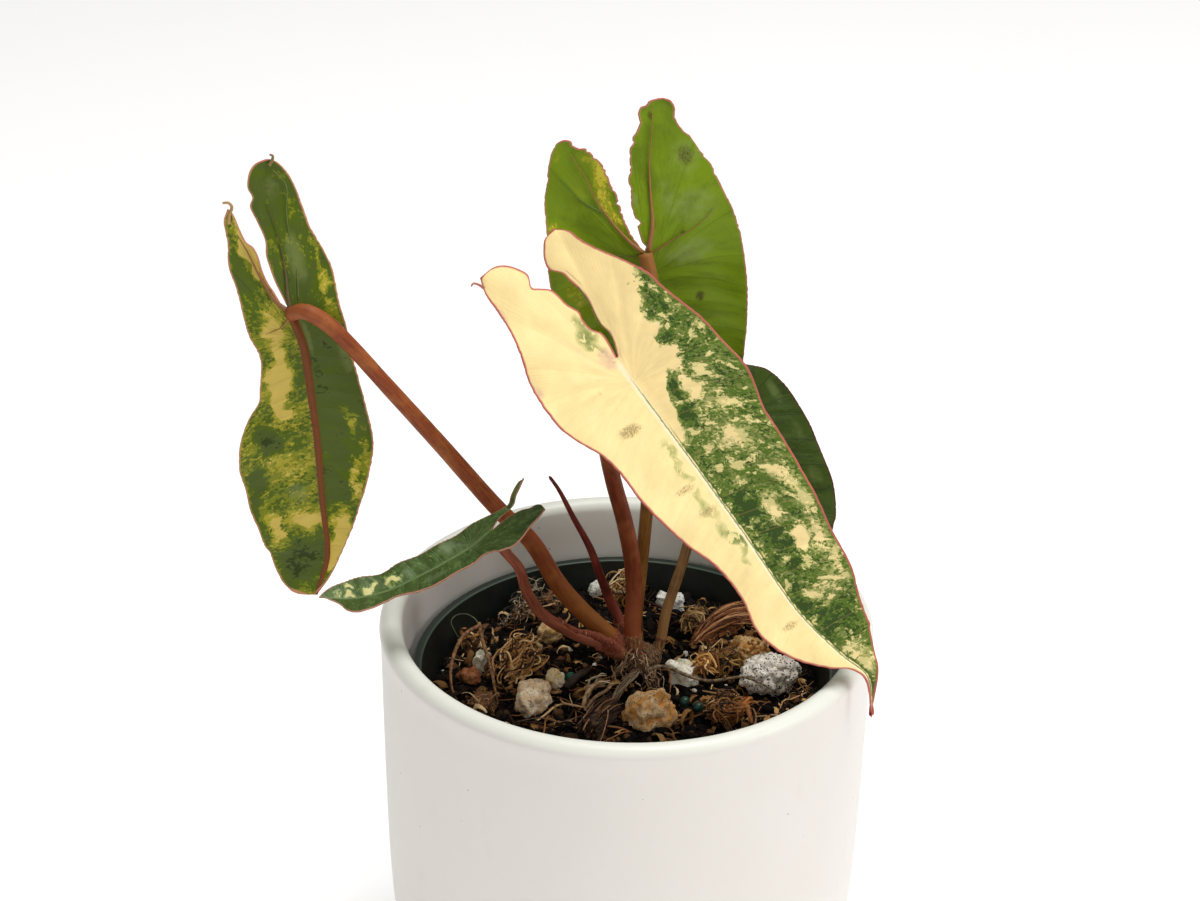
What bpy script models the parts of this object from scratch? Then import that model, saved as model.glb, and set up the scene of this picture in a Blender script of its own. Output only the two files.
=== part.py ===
"""Potted philodendron: five arrow-shaped leaves and a new spear in a nursery pot, inside a round white pot.

Run it with: blender --background --python part.py
Lengths are in millimetres and become metres through MM. X runs right, Y away from the viewer, Z up.
The pot stands on Z = 0 with its axis on X = Y = 0.
"""

import math
from dataclasses import dataclass

import bmesh
import bpy
from mathutils import Matrix, Vector, noise

MM = 0.001
# Clearance between two solids that touch on the real plant
GAP = 0.3
TURN_STEPS = 48

# Outer pot
POT_HEIGHT = 140.0
POT_WALL = 7.0
POT_FLOOR = 7.0
POT_FOOT_RADIUS = 62.0
POT_RIM_RADIUS = 75.0
POT_RIM_BEAD = 3.5
# Outside radius of the wall at a depth under the rim
POT_SIDE = (
    (6.0, 74.6), (25.0, 74.4), (55.0, 74.0), (85.0, 73.2), (105.0, 71.8), (120.0, 69.8), (131.0, 67.2),
)
POT_FOOT_CURVE = ((135.5, 65.6), (138.5, 63.8))
# Width and height of the round corner between the wall and the floor inside
POT_FLOOR_CORNER = (3.5, 2.5)
BEAD_STEPS = 6

# Nursery pot
LINER_RIM_HEIGHT = 121.8
LINER_RIM_RADIUS = 65.3
LINER_LIP = 1.7
LINER_LIP_DEPTH = 3.0
LINER_WALL = 1.2
LINER_BASE_RADIUS = 47.0
LINER_BASE = POT_FLOOR + GAP
LINER_LIP_CORNERS = (0.4, 0.5, 0.6)
LINER_BASE_CORNER = (0.6, 1.2)
LINER_HOLES = 6
LINER_HOLE_RADIUS = 4.0
LINER_HOLE_RING = 35.0
LINER_HOLE_STEPS = 12

# Soil
SOIL_TOP = 110.0
SOIL_RINGS = 12
SOIL_STEPS = 48
SOIL_LUMP = 1.4
SOIL_LUMP_SIZE = 8.0
# Rise towards the back: its height, and where it starts and ends
SOIL_BACK_RISE = 2.5
SOIL_BACK_START = 25.0
SOIL_BACK_END = 55.0

# Loose pieces on the soil
SEAT_GROWTH = 1.4 * GAP
BLOCK_SIZE = 1.5
ROUGH_SIZE = 1.3
FINE_SIZE = 3.1

# Crown, where every leaf stalk starts
CROWN = (5.0, 17.0)
CROWN_RADIUS = 5.6
CROWN_BOTTOM = 97.0
CROWN_TOP = 113.5
CROWN_HEAD = (6.4, 6.0, 4.4)
CROWN_STEPS = 16
CROWN_HOLE_TOP = SOIL_TOP + 6.0
CROWN_HOLE_STEPS = 20

# Leaf blades
BLADE_THICKNESS = 0.9
RIB_THICKNESS = 2.0
RIB_WIDTH = 1.3
# Share of the midrib's thickness at the tip, and its widest share of a row
RIB_TIP = 0.25
RIB_SPAN = 0.25
BLADE_ROWS = 18
LOBE_ROWS = 8
BLADE_COLUMNS = (0.38, 0.7, 1.0)
STALK_POINTS = 14
SHEATH_POINTS = 5
END_STEP = 0.4
SEAT_ROUNDS = 6
SPAN_STEPS = 24


@dataclass(frozen=True)
class Half:
    """One half of a blade, as (along, across) points in the flat leaf.

    Along is measured from the stalk's joint towards the tip, so the basal lobes have negative values.
    """

    margin: tuple
    lobe: tuple
    sinus: tuple


@dataclass(frozen=True)
class Leaf:
    """A blade: its midrib's line from the lobes to the tip, the side that faces up, and its two halves."""

    name: str
    midrib: tuple
    joint: int
    face: tuple
    fold: tuple
    wave: tuple
    colour: str
    halves: dict


LEAF_FRONT = Leaf(
    name="leaf_front",
    midrib=(
        (-30.0, 10.0, 258.0), (-16.8, 6.0, 241.2), (-4.1, 1.0, 225.2), (11.4, -7.0, 206.7), (32.2, -19.0, 181.8),
        (50.2, -29.0, 158.9), (62.6, -36.0, 149.1), (70.4, -38.0, 143.0), (72.4, -38.0, 128.4),
    ),
    joint=2,
    face=(0.10, -0.75, 0.62),
    fold=(14.0, 10.0),
    wave=(0.8, 21.0, 0.6),
    colour="E3D08A",
    halves={
        +1: Half(
            margin=(
                (127, 0.8), (120, 1.2), (112, 2.5), (108, 6), (101, 10.4), (94, 13.4), (87, 14.5), (78, 12.3),
                (71, 12.5), (63, 14.2), (56, 16.8), (45, 19.6), (36, 20.6), (27, 20.8), (19, 22.4), (12, 25.2),
                (5, 27.2), (-2, 27.6),
            ),
            lobe=((-2, 27.6), (-11, 26.3), (-19, 24), (-27, 21.6), (-33, 20.9), (-40, 20.6), (-44, 19)),
            sinus=(
                (0, 0), (-4, -0.7), (-9, -0.9), (-12, 1), (-16, 1.3), (-18, 0.8), (-22, 2.4), (-28, 3.5),
                (-31, 6.5), (-32.5, 8.1), (-36, 6.6), (-38.5, 7.5), (-42, 10), (-44, 13), (-44.5, 16), (-44, 19),
            ),
        ),
        -1: Half(
            margin=(
                (128, -0.6), (121, -1.5), (116, -5.5), (112, -9.9), (104, -14), (95, -18.2), (84, -20.9),
                (77, -22), (68, -22.8), (56, -24.4), (45, -25.3), (37, -25.8), (30, -27.8), (23, -28.6),
                (16, -28.3), (8, -27.5), (0, -25.8), (-4, -24.8),
            ),
            lobe=(
                (-4, -24.8), (-11, -23), (-15, -22.2), (-22, -18.7), (-29, -14.8), (-34, -12.4), (-39, -10.8),
                (-41.5, -8),
            ),
            sinus=(
                (0, 0), (-4, -1.6), (-8, -2.5), (-11, -1.9), (-15, -2.3), (-19, -3.2), (-23, -3.1), (-27, -2.4),
                (-30, -1.9), (-33, 0.3), (-36, -0.1), (-39, -2), (-41, -4), (-41.5, -8),
            ),
        ),
    },
)

LEAF_LEFT = Leaf(
    name="leaf_left",
    midrib=(
        (-109.8, 10.0, 276.1), (-103.9, 6.0, 256.2), (-98.5, 0.0, 239.1), (-95.2, -1.0, 229.4),
        (-93.3, -2.0, 213.7), (-92.1, -3.0, 202.7), (-90.8, -5.0, 180.4), (-89.7, -7.0, 162.8), (-92.9, -9.0, 150.4),
    ),
    joint=2,
    face=(-0.10, 1.0, -0.25),
    fold=(8.0, 8.0),
    wave=(1.2, 26.0, 1.1),
    colour="6F8030",
    halves={
        +1: Half(
            margin=(
                (86, 1.7), (83, 2.5), (78, 3.9), (73, 6.3), (68, 9), (63, 11.1), (58, 13), (52, 14.9), (47, 16.1),
                (42, 16.4), (32, 15.5), (22, 14.1), (15, 13.1), (9, 13.6), (3, 14.2),
            ),
            lobe=(
                (3, 14.2), (-6, 14.9), (-10, 15), (-14, 14.4), (-18, 13.5), (-22, 12.5), (-28, 12.1), (-36, 11.4),
                (-40, 10.3), (-43, 8.5), (-44.5, 6),
            ),
            sinus=(
                (0, 0), (-5, -0.9), (-10, -1.8), (-14, -2.1), (-18, -2.1), (-22, -1.1), (-28, -1.7), (-33, -2.3),
                (-35, -0.9), (-38, -1.4), (-41, -0.4), (-43, 1), (-44.2, 3), (-44.5, 6),
            ),
        ),
        -1: Half(
            margin=(
                (91.5, -3.3), (92, -6.4), (91, -9.1), (89, -11.9), (85, -15.3), (75, -18.6), (67, -20.1),
                (62, -21.7), (56, -22.6), (51, -23.7), (46, -23.6), (41, -22.9), (36, -21.1), (32, -19),
                (27, -15.5), (22, -14.5), (15, -13.3), (9, -13.3), (3, -13.9),
            ),
            lobe=(
                (3, -13.9), (-1, -13.7), (-7, -13.3), (-12, -13.3), (-16, -13.6), (-19, -13.3), (-24, -11.8),
                (-29, -11.2), (-31, -10.8), (-33.5, -9),
            ),
            sinus=(
                (0, 0), (-2, -1.4), (-7, -2.8), (-10, -3.8), (-14, -4.4), (-18, -4.4), (-21, -5), (-23, -6.5),
                (-27, -7.2), (-32, -7.8), (-33.5, -9),
            ),
        ),
    },
)

LEAF_BACK = Leaf(
    name="leaf_back",
    midrib=(
        (-6.7, 46.0, 286.4), (-1.6, 42.0, 264.3), (3.6, 37.0, 243.3), (8.7, 40.0, 217.8), (14.0, 43.0, 190.8),
        (19.3, 44.0, 165.7), (24.7, 44.0, 142.4),
    ),
    joint=2,
    face=(0.0, 1.0, -0.3),
    fold=(6.0, 6.0),
    wave=(0.9, 30.0, 0.4),
    colour="6F9412",
    halves={
        +1: Half(
            margin=(
                (97, 4), (90, 9), (80, 14), (68, 18), (55, 21.5), (46, 23), (34, 26.1), (25, 27.7), (18, 28.5),
                (11, 29), (3, 29.2),
            ),
            lobe=(
                (3, 29.2), (-3, 28.9), (-9, 28), (-15, 26.4), (-22, 24.6), (-26, 22.5), (-31, 20.5), (-34.5, 18.1),
                (-38, 17.3), (-40.5, 17.8), (-43, 16.9), (-44, 15),
            ),
            sinus=(
                (0, 0), (-6, -0.5), (-10, -0.7), (-15, -1), (-19, -0.3), (-22, -0.3), (-27, 1.2), (-30, 1.7),
                (-34, 3.2), (-36, 5.1), (-38, 6.4), (-41, 6.6), (-43, 8), (-44, 10.5), (-44.3, 13), (-44, 15),
            ),
        ),
        -1: Half(
            margin=(
                (97, -4), (90, -9), (80, -15), (68, -20), (55, -24), (41, -27), (28, -29), (15, -29.8),
                (6, -30.2), (1, -29.9),
            ),
            lobe=(
                (1, -29.9), (-3, -29.5), (-12, -27.7), (-21, -26.2), (-25, -24.6), (-30, -23), (-34, -21.2),
                (-36.5, -19.5), (-37.5, -17.8),
            ),
            sinus=(
                (0, 0), (-3, -1.6), (-7, -3.1), (-12, -4), (-16, -4.2), (-19, -4.5), (-22, -5.6), (-25, -5.8),
                (-28, -6.6), (-30, -7.8), (-32, -9.1), (-34, -10.6), (-34.5, -12.8), (-37, -14.5), (-37.8, -16.5),
                (-37.5, -17.8),
            ),
        ),
    },
)

LEAF_RIGHT = Leaf(
    name="leaf_right",
    midrib=(
        (20.9, 33.0, 210.3), (28.4, 30.0, 198.4), (37.2, 27.0, 186.8), (46.2, 24.0, 173.7), (54.5, 20.0, 160.3),
        (60.4, 16.0, 148.2),
    ),
    joint=1,
    face=(0.25, -0.75, 0.6),
    fold=(8.0, 8.0),
    wave=(0.6, 18.0, 0.2),
    colour="33491C",
    halves={
        +1: Half(
            margin=((57, 4), (50, 8), (42, 12), (30, 15), (21, 16), (12, 16.5), (4, 16)),
            lobe=((4, 16), (-3, 14), (-8, 11.5), (-12, 8.5), (-14.5, 5)),
            sinus=((0, 0), (-3, 1), (-8, 2), (-12, 3), (-14.5, 5)),
        ),
        -1: Half(
            margin=(
                (57, -4), (52, -7.7), (49, -10.4), (42, -13.3), (34, -15), (26, -16.8), (18, -17.7),
                (11, -18.2), (5, -17.3),
            ),
            lobe=((5, -17.3), (0, -15.8), (-3, -13.5), (-6, -10.6), (-10, -9), (-13, -7), (-14.5, -5)),
            sinus=((0, 0), (-3, -1), (-8, -2), (-12, -3), (-14.5, -5)),
        ),
    },
)

LEAF_SMALL = Leaf(
    name="leaf_small",
    midrib=(
        (-30.0, -3.0, 179.4), (-40.7, -9.0, 173.1), (-46.8, -12.0, 168.9), (-52.6, -15.0, 166.4),
        (-61.3, -18.0, 162.5), (-71.5, -21.0, 158.7), (-81.7, -23.0, 157.3), (-90.7, -24.0, 158.4),
    ),
    joint=1,
    face=(0.05, -0.25, 1.0),
    fold=(16.0, 16.0),
    wave=(0.5, 13.0, 0.0),
    colour="3C5A38",
    halves={
        +1: Half(
            margin=(
                (54.5, 2), (52, 4.1), (48, 5.8), (43, 6.6), (34, 6.8), (27, 6.9), (18, 6.6), (9, 6.4), (3, 5.7),
            ),
            lobe=((3, 5.7), (-1, 4.7), (-5, 3.7), (-9, 3.5), (-11, 5.2), (-14, 7.2), (-16, 8), (-17.5, 7.6)),
            sinus=((0, 0), (-4, 1.4), (-8, 1.7), (-10.5, 2.4), (-12.5, 4.2), (-15, 5.8), (-17.5, 7.6)),
        ),
        -1: Half(
            margin=(
                (53.5, -0.3), (50, -2.4), (48, -5.6), (45, -7.4), (42, -7), (37, -4.9), (34, -4.1), (31, -5.2),
                (28, -6.6), (22, -7.1), (16, -7.2), (10, -7), (6.5, -6.3), (4, -7.8), (2, -10.2),
            ),
            lobe=((2, -10.2), (-1, -11.7), (-4, -11.4), (-8, -10.4), (-13, -8.9), (-16, -7.3)),
            sinus=((0, 0), (-4, 0.2), (-8, 0), (-11, -0.9), (-13, -2.5), (-15, -3), (-16, -4.3), (-16, -7.3)),
        ),
    },
)

LEAVES = (LEAF_FRONT, LEAF_LEFT, LEAF_BACK, LEAF_RIGHT, LEAF_SMALL)


@dataclass(frozen=True)
class Stalk:
    """A leaf stalk: its route from inside the crown, two radii, and the length of its sheath fused to the crown.

    The last point of a stalk with a leaf is worked out, so that its end seats under the blade's joint.
    """

    name: str
    leaf: Leaf
    route: tuple
    radii: tuple
    sheath: float
    colour: str

    def radius_at(self, share):
        """Gives the radius at a share of the stalk's length."""
        return self.radii[0] + (self.radii[1] - self.radii[0]) * share


STALKS = (
    Stalk(
        "petiole_left",
        LEAF_LEFT,
        (
            (3.0, 16.5, 113.0), (-1.4, 15.0, 117.3), (-5.8, 12.5, 124.6), (-12.4, 10.5, 132.6),
            (-20.8, 9.0, 144.1), (-29.3, 8.0, 160.0), (-39.0, 7.0, 171.2), (-56.3, 4.0, 195.0),
            (-71.8, 0.0, 216.7), (-82.5, -3.0, 231.8), (-88.6, -4.7, 239.0), (-93.9, -5.2, 242.2),
        ),
        (3.0, 2.1),
        14.5,
        "8C4526",
    ),
    Stalk(
        "petiole_small",
        LEAF_SMALL,
        (
            (3.0, 15.0, 112.5), (0.2, 13.0, 116.0), (-2.6, 9.0, 119.9), (-7.0, 5.5, 125.3), (-14.1, 4.0, 129.0),
            (-20.5, 2.0, 133.7), (-25.7, 0.0, 139.1), (-30.2, -3.0, 148.6), (-32.5, -6.0, 158.7),
            (-36.6, -8.0, 165.6),
        ),
        (2.2, 1.4),
        20.5,
        "84463C",
    ),
    Stalk(
        "petiole_front",
        LEAF_FRONT,
        (
            (5.0, 16.0, 112.0), (3.0, 14.2, 118.0), (2.1, 15.2, 123.5), (2.3, 18.0, 137.3), (1.5, 19.0, 147.5),
            (-1.2, 19.0, 161.6), (-4.8, 17.0, 176.6), (-7.1, 15.0, 189.7), (-7.3, 12.0, 203.1),
            (-6.3, 9.0, 212.9),
        ),
        (2.75, 2.3),
        12.0,
        "6E2F1A",
    ),
    Stalk(
        "petiole_back",
        LEAF_BACK,
        (
            (4.5, 20.0, 112.0), (3.3, 24.3, 121.0), (4.2, 27.0, 135.6), (5.2, 29.0, 148.9), (5.9, 30.0, 160.8),
            (6.4, 31.0, 179.6), (6.6, 31.8, 199.7), (6.4, 32.3, 219.5), (5.7, 32.4, 234.0),
        ),
        (2.0, 2.1),
        11.0,
        "94602A",
    ),
    Stalk(
        "petiole_right",
        LEAF_RIGHT,
        (
            (8.0, 18.5, 112.5), (10.4, 19.6, 115.8), (12.5, 21.0, 127.7), (14.8, 23.0, 135.3), (17.4, 25.0, 143.9),
            (22.2, 31.0, 162.3), (25.6, 35.0, 177.8), (27.5, 35.5, 188.7),
        ),
        (1.65, 1.65),
        8.0,
        "8A6544",
    ),
    Stalk(
        "new_leaf_spear",
        None,
        (
            (2.5, 20.0, 112.0), (-0.4, 22.5, 118.5), (-2.4, 24.0, 123.8), (-4.4, 24.0, 128.2), (-8.3, 23.0, 139.6),
            (-11.5, 22.0, 149.8), (-16.8, 20.0, 161.8), (-21.2, 18.0, 172.3), (-24.2, 17.0, 177.6),
        ),
        (2.0, 0.5),
        12.0,
        "5F2420",
    ),
)

# Dry sheath spur and aerial root, fused to the crown
SHEATH_SPUR = (
    (-3.6, 7.6, 122.2), (-4.6, 5.0, 125.2), (-6.1, 2.0, 128.6), (-8.8, 0.0, 131.4), (-12.8, -0.8, 133.4),
    (-16.4, -1.8, 135.0), (-20.8, -2.0, 139.4),
)
SHEATH_SPUR_RADII = (1.6, 0.5)
AERIAL_ROOT = ((4.6, 13.0, 113.6), (3.7, 8.5, 114.0), (1.2, 3.8, 113.9), (-1.6, -1.2, 113.4))
AERIAL_ROOT_RADII = (1.8, 1.0)


@dataclass(frozen=True)
class Lump:
    """A loose piece on the soil: centre, three half sizes, turn about Z in degrees and surface roughness."""

    name: str
    centre: tuple
    half: tuple
    turn: float
    rough: float
    blocky: bool
    colour: str
    seed: int


LUMPS = (
    Lump("stone_tan_front", (8.0, -13.6, 112.4), (7.8, 6.4, 6.0), 10, 0.20, False, "B39A78", 1),
    Lump("stone_two_lobed", (-27.6, -3.8, 112.6), (5.8, 4.6, 5.2), 30, 0.26, False, "B9A58A", 2),
    Lump("pebble_cream", (-21.7, 5.2, 112.6), (2.6, 2.6, 3.4), 0, 0.10, False, "D8C49C", 3),
    Lump("perlite_speckled", (45.0, 7.5, 114.0), (9.0, 6.3, 6.6), 15, 0.18, False, "CFCBC6", 4),
    Lump("rock_granular", (38.0, 22.3, 113.2), (6.3, 4.8, 4.6), -15, 0.24, False, "A88F6C", 5),
    Lump("chip_white_centre", (17.6, 12.0, 113.0), (3.9, 3.4, 4.2), 20, 0.22, False, "D7D2C8", 6),
    Lump("husk_chunk_centre", (26.8, 16.8, 113.0), (4.0, 3.8, 4.4), 35, 0.20, True, "A5764A", 7),
    Lump("chip_white_back", (14.5, 50.5, 113.6), (5.6, 2.9, 3.0), -8, 0.22, False, "CFCCC4", 8),
    Lump("chip_white_far", (-9.5, 55.5, 114.4), (2.6, 2.3, 3.1), 12, 0.22, False, "D7D2C8", 9),
    Lump("stone_tan_back", (-23.5, 33.5, 112.2), (4.8, 4.0, 3.8), 40, 0.20, False, "B39A78", 10),
    Lump("chip_white_left", (-44.8, 17.4, 112.0), (2.8, 2.4, 3.1), 60, 0.22, False, "C9C3B4", 11),
    Lump("stone_red_brown", (-48.3, 7.2, 111.8), (3.9, 3.0, 2.6), -20, 0.16, False, "8E5E4A", 12),
    Lump("husk_chunk_left", (-31.0, 18.4, 112.6), (5.0, 4.6, 5.6), 25, 0.20, True, "A5764A", 13),
    Lump("bark_dark", (-7.6, -16.6, 111.8), (6.0, 4.8, 4.2), -30, 0.18, True, "3A2A1E", 14),
    Lump("husk_chunk_orange", (31.2, -11.6, 112.2), (6.4, 5.4, 4.6), 15, 0.20, True, "9A5C30", 15),
    Lump("fibre_bundle", (31.0, 34.0, 112.6), (10.5, 3.2, 3.0), 43, 0.15, True, "A8794C", 16),
    Lump("husk_clump_back_left", (-32.5, 41.5, 112.6), (4.4, 3.8, 4.4), 10, 0.20, True, "7F6248", 17),
    Lump("husk_clump_back", (-23.0, 48.5, 113.2), (3.8, 3.4, 4.6), -25, 0.20, True, "8C7358", 18),
    Lump("husk_ruffle", (1.0, 53.5, 113.6), (3.6, 3.2, 4.0), 50, 0.20, True, "A98A64", 19),
    Lump("husk_chunk_front_left", (-43.0, -8.5, 111.6), (4.8, 3.6, 3.4), 65, 0.20, True, "8A6240", 20),
    Lump("husk_chunk_left_edge", (-48.6, 25.4, 111.8), (3.0, 3.8, 3.2), 20, 0.20, True, "7A5738", 21),
)

PRILL_RADIUS = 1.75
PRILL_COLOUR = "1D6B57"
PRILLS = {"prill_left": (-16.8, 9.0), "prill_right": (18.4, -4.6), "prill_right_front": (22.4, -7.4)}


def clear_scene():
    """Removes every object of the startup scene."""
    for obj in list(bpy.data.objects):
        bpy.data.objects.remove(obj, do_unlink=True)


def new_collection(name):
    """Makes a collection in the scene."""
    collection = bpy.data.collections.new(name)
    bpy.context.scene.collection.children.link(collection)
    return collection


def linear_colour(code):
    """Turns a hexadecimal sRGB colour into linear RGBA."""
    values = [int(code[i : i + 2], 16) / 255 for i in (0, 2, 4)]
    return [v / 12.92 if v <= 0.04045 else ((v + 0.055) / 1.055) ** 2.4 for v in values] + [1.0]


def make_material(name, colour, roughness):
    """Makes a plain Principled material."""
    material = bpy.data.materials.new(name)
    material.use_nodes = True
    shader = material.node_tree.nodes["Principled BSDF"]
    shader.inputs["Base Color"].default_value = linear_colour(colour)
    shader.inputs["Roughness"].default_value = roughness
    shader.inputs["Metallic"].default_value = 0.0
    material.diffuse_color = linear_colour(colour)
    return material


def add_object(name, data, collection, material=None):
    """Links a new object and gives it its material."""
    obj = bpy.data.objects.new(name, data)
    collection.objects.link(obj)
    if material:
        data.materials.append(material)
    return obj


def hide_helper(obj):
    """Keeps a cutter or a boolean operand out of the part."""
    obj.hide_render = True
    obj.display_type = "WIRE"
    return obj


def shade_smooth(obj):
    """Shades a mesh object smooth."""
    for polygon in obj.data.polygons:
        polygon.use_smooth = True


def smooth_line(points, per_span=12):
    """Runs a centripetal Catmull-Rom curve through the points.

    The first and last spans use mirrored end points.
    """
    points = [Vector(p) for p in points]
    guides = [2 * points[0] - points[1], *points, 2 * points[-1] - points[-2]]
    line = []
    for p0, p1, p2, p3 in zip(guides, guides[1:], guides[2:], guides[3:]):
        t1 = (p1 - p0).length ** 0.5
        t2 = t1 + (p2 - p1).length ** 0.5
        t3 = t2 + (p3 - p2).length ** 0.5
        for step in range(per_span):
            t = t1 + (t2 - t1) * step / per_span
            a1 = p0.lerp(p1, t / t1)
            a2 = p1.lerp(p2, (t - t1) / (t2 - t1))
            a3 = p2.lerp(p3, (t - t2) / (t3 - t2))
            b1 = a1.lerp(a2, t / t2)
            b2 = a2.lerp(a3, (t - t1) / (t3 - t1))
            line.append(b1.lerp(b2, (t - t1) / (t2 - t1)))
    line.append(points[-1])
    return line


class Path:
    """A polyline that can be read at a distance from its start."""

    def __init__(self, points):
        self.points = points
        self.reach = [0.0]
        for a, b in zip(points, points[1:]):
            self.reach.append(self.reach[-1] + (b - a).length)
        self.length = self.reach[-1]

    def index(self, distance):
        """Gives the span that holds a distance, and the share of that span passed."""
        distance = min(max(distance, 0.0), self.length)
        low = 0
        high = len(self.reach) - 1
        while high - low > 1:
            middle = (low + high) // 2
            if self.reach[middle] <= distance:
                low = middle
            else:
                high = middle
        span = self.reach[high] - self.reach[low]
        return low, (distance - self.reach[low]) / span if span else 0.0

    def at(self, distance):
        """Gives the point at a distance."""
        low, share = self.index(distance)
        return self.points[low].lerp(self.points[low + 1], share)

    def even(self, count, start=0.0, end=None):
        """Gives evenly spaced points."""
        end = self.length if end is None else end
        return [self.at(start + (end - start) * i / (count - 1)) for i in range(count)]

    def square_ended(self, count, start=0.0, end=None):
        """Gives evenly spaced points, with one more close to each end, so that a tube ends square to the path."""
        end = self.length if end is None else end
        points = self.even(count, start, end)
        return [points[0], self.at(start + END_STEP), *points[1:-1], self.at(end - END_STEP), points[-1]]


class Blade:
    """Lays flat leaf coordinates on the leaf's curved sheet."""

    def __init__(self, leaf):
        self.leaf = leaf
        line = smooth_line(leaf.midrib, SPAN_STEPS)
        self.path = Path(line)
        self.joint_reach = self.path.reach[leaf.joint * SPAN_STEPS]
        self.length = self.path.length - self.joint_reach
        face = Vector(leaf.face)
        self.tangents = []
        self.normals = []
        for i in range(len(line)):
            tangent = (line[min(i + 1, len(line) - 1)] - line[max(i - 1, 0)]).normalized()
            self.tangents.append(tangent)
            self.normals.append((face - face.dot(tangent) * tangent).normalized())

    def joint(self):
        """Gives the point where the stalk meets the blade, and the upper side's normal there."""
        index = self.leaf.joint * SPAN_STEPS
        return self.path.points[index], self.normals[index]

    def place(self, along, across, half_width):
        """Turns (along, across) into a point in space, with the fold and the waves of the margin."""
        reach = self.joint_reach + along
        low, share = self.path.index(reach)
        tangent = self.tangents[low].lerp(self.tangents[low + 1], share)
        normal = self.normals[low].lerp(self.normals[low + 1], share)
        beyond = reach - min(max(reach, 0.0), self.path.length)
        point = self.path.at(reach) + tangent * beyond
        height, length, phase = self.leaf.wave
        side = 1 if across > 0 else -1
        fold = math.radians(self.leaf.fold[1] if side > 0 else self.leaf.fold[0])
        wave = height * math.sin(2 * math.pi * along / length + phase * (2 + side))
        wave *= min(abs(across) / half_width, 1) ** 2
        out = across * math.cos(fold)
        rise = abs(across) * math.sin(fold) + wave
        return point + tangent.cross(normal) * out + normal * rise


def half_rows(blade, half):
    """Gives (inner, outer) pairs of flat points from the tip to the end of the lobe."""
    tip = (blade.length, 0.0)
    margin = Path(smooth_line((tip, *half.margin)))
    lobe = Path(smooth_line(half.lobe))
    sinus = Path(smooth_line(half.sinus))
    rows = []
    for i, outer in enumerate(margin.even(BLADE_ROWS + 1)):
        rows.append((Vector((blade.length * (1 - i / BLADE_ROWS), 0.0)), outer))
    rows += list(zip(sinus.even(LOBE_ROWS + 1), lobe.even(LOBE_ROWS + 1)))[1:]
    return rows


def add_half(mesh, blade, side, rib_layer):
    """Adds one half of a blade to the mesh as a strip between the midrib or sinus and the margin."""
    rows = half_rows(blade, blade.leaf.halves[side])
    width = max(abs(outer.y) for _, outer in rows)
    columns = len(BLADE_COLUMNS) + 1
    grid = bmesh.ops.create_grid(mesh, x_segments=columns, y_segments=len(rows) - 1, size=1.0)
    for vert in grid["verts"]:
        column = round((vert.co.x + 1) / 2 * columns)
        row = round((vert.co.y + 1) / 2 * (len(rows) - 1))
        inner, outer = rows[row]
        span = (outer - inner).length
        rib_share = min(RIB_WIDTH / span, RIB_SPAN) if span else 0.0
        shares = (0.0, rib_share, *BLADE_COLUMNS)
        flat = inner.lerp(outer, shares[column])
        vert.co = blade.place(flat.x, flat.y, width) * MM
        on_rib = column == 0 and row <= BLADE_ROWS
        vert[rib_layer][0] = RIB_TIP + (1 - RIB_TIP) * row / BLADE_ROWS if on_rib else 0.0


def build_leaf(leaf, collection):
    """Builds a blade as a thin waved sheet with a thicker midrib under it."""
    blade = Blade(leaf)
    mesh = bmesh.new()
    rib_layer = mesh.verts.layers.deform.verify()
    for side in leaf.halves:
        add_half(mesh, blade, side, rib_layer)
    bmesh.ops.remove_doubles(mesh, verts=mesh.verts, dist=0.03 * MM)
    bmesh.ops.dissolve_degenerate(mesh, edges=mesh.edges, dist=0.01 * MM)
    bmesh.ops.recalc_face_normals(mesh, faces=mesh.faces)
    facing = sum((face.normal * face.calc_area() for face in mesh.faces), Vector())
    if facing.dot(Vector(leaf.face)) < 0:
        bmesh.ops.reverse_faces(mesh, faces=mesh.faces)
    bmesh.ops.triangulate(mesh, faces=mesh.faces)
    data = bpy.data.meshes.new(leaf.name)
    mesh.to_mesh(data)
    mesh.free()
    obj = add_object(leaf.name, data, collection, make_material(leaf.name, leaf.colour, 0.4))
    obj.vertex_groups.new(name="rib")
    solid = obj.modifiers.new("thickness", "SOLIDIFY")
    solid.thickness = RIB_THICKNESS * MM
    solid.offset = -1.0
    solid.vertex_group = "rib"
    solid.thickness_vertex_group = BLADE_THICKNESS / RIB_THICKNESS
    shade_smooth(obj)
    return obj


def tube(name, points, radii, collection, material, sides=2):
    """Makes a tapered tube through the points, as a curve with filled caps."""
    data = bpy.data.curves.new(name, "CURVE")
    data.dimensions = "3D"
    data.fill_mode = "FULL"
    data.bevel_depth = MM
    data.bevel_resolution = sides
    data.use_fill_caps = True
    spline = data.splines.new("POLY")
    spline.points.add(len(points) - 1)
    for i, point in enumerate(points):
        share = i / (len(points) - 1)
        spline.points[i].co = (*(point * MM), 1.0)
        spline.points[i].radius = radii[0] + (radii[1] - radii[0]) * share
    spline.use_smooth = True
    return add_object(name, data, collection, material)


def to_mesh_object(curve, collection):
    """Turns a tube into a closed mesh object, as a boolean needs."""
    graph = bpy.context.evaluated_depsgraph_get()
    data = bpy.data.meshes.new_from_object(curve.evaluated_get(graph))
    name = curve.name
    bpy.data.objects.remove(curve, do_unlink=True)
    mesh = bmesh.new()
    mesh.from_mesh(data)
    bmesh.ops.remove_doubles(mesh, verts=mesh.verts, dist=0.001 * MM)
    bmesh.ops.recalc_face_normals(mesh, faces=mesh.faces)
    mesh.to_mesh(data)
    mesh.free()
    return add_object(name, data, collection)


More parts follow.
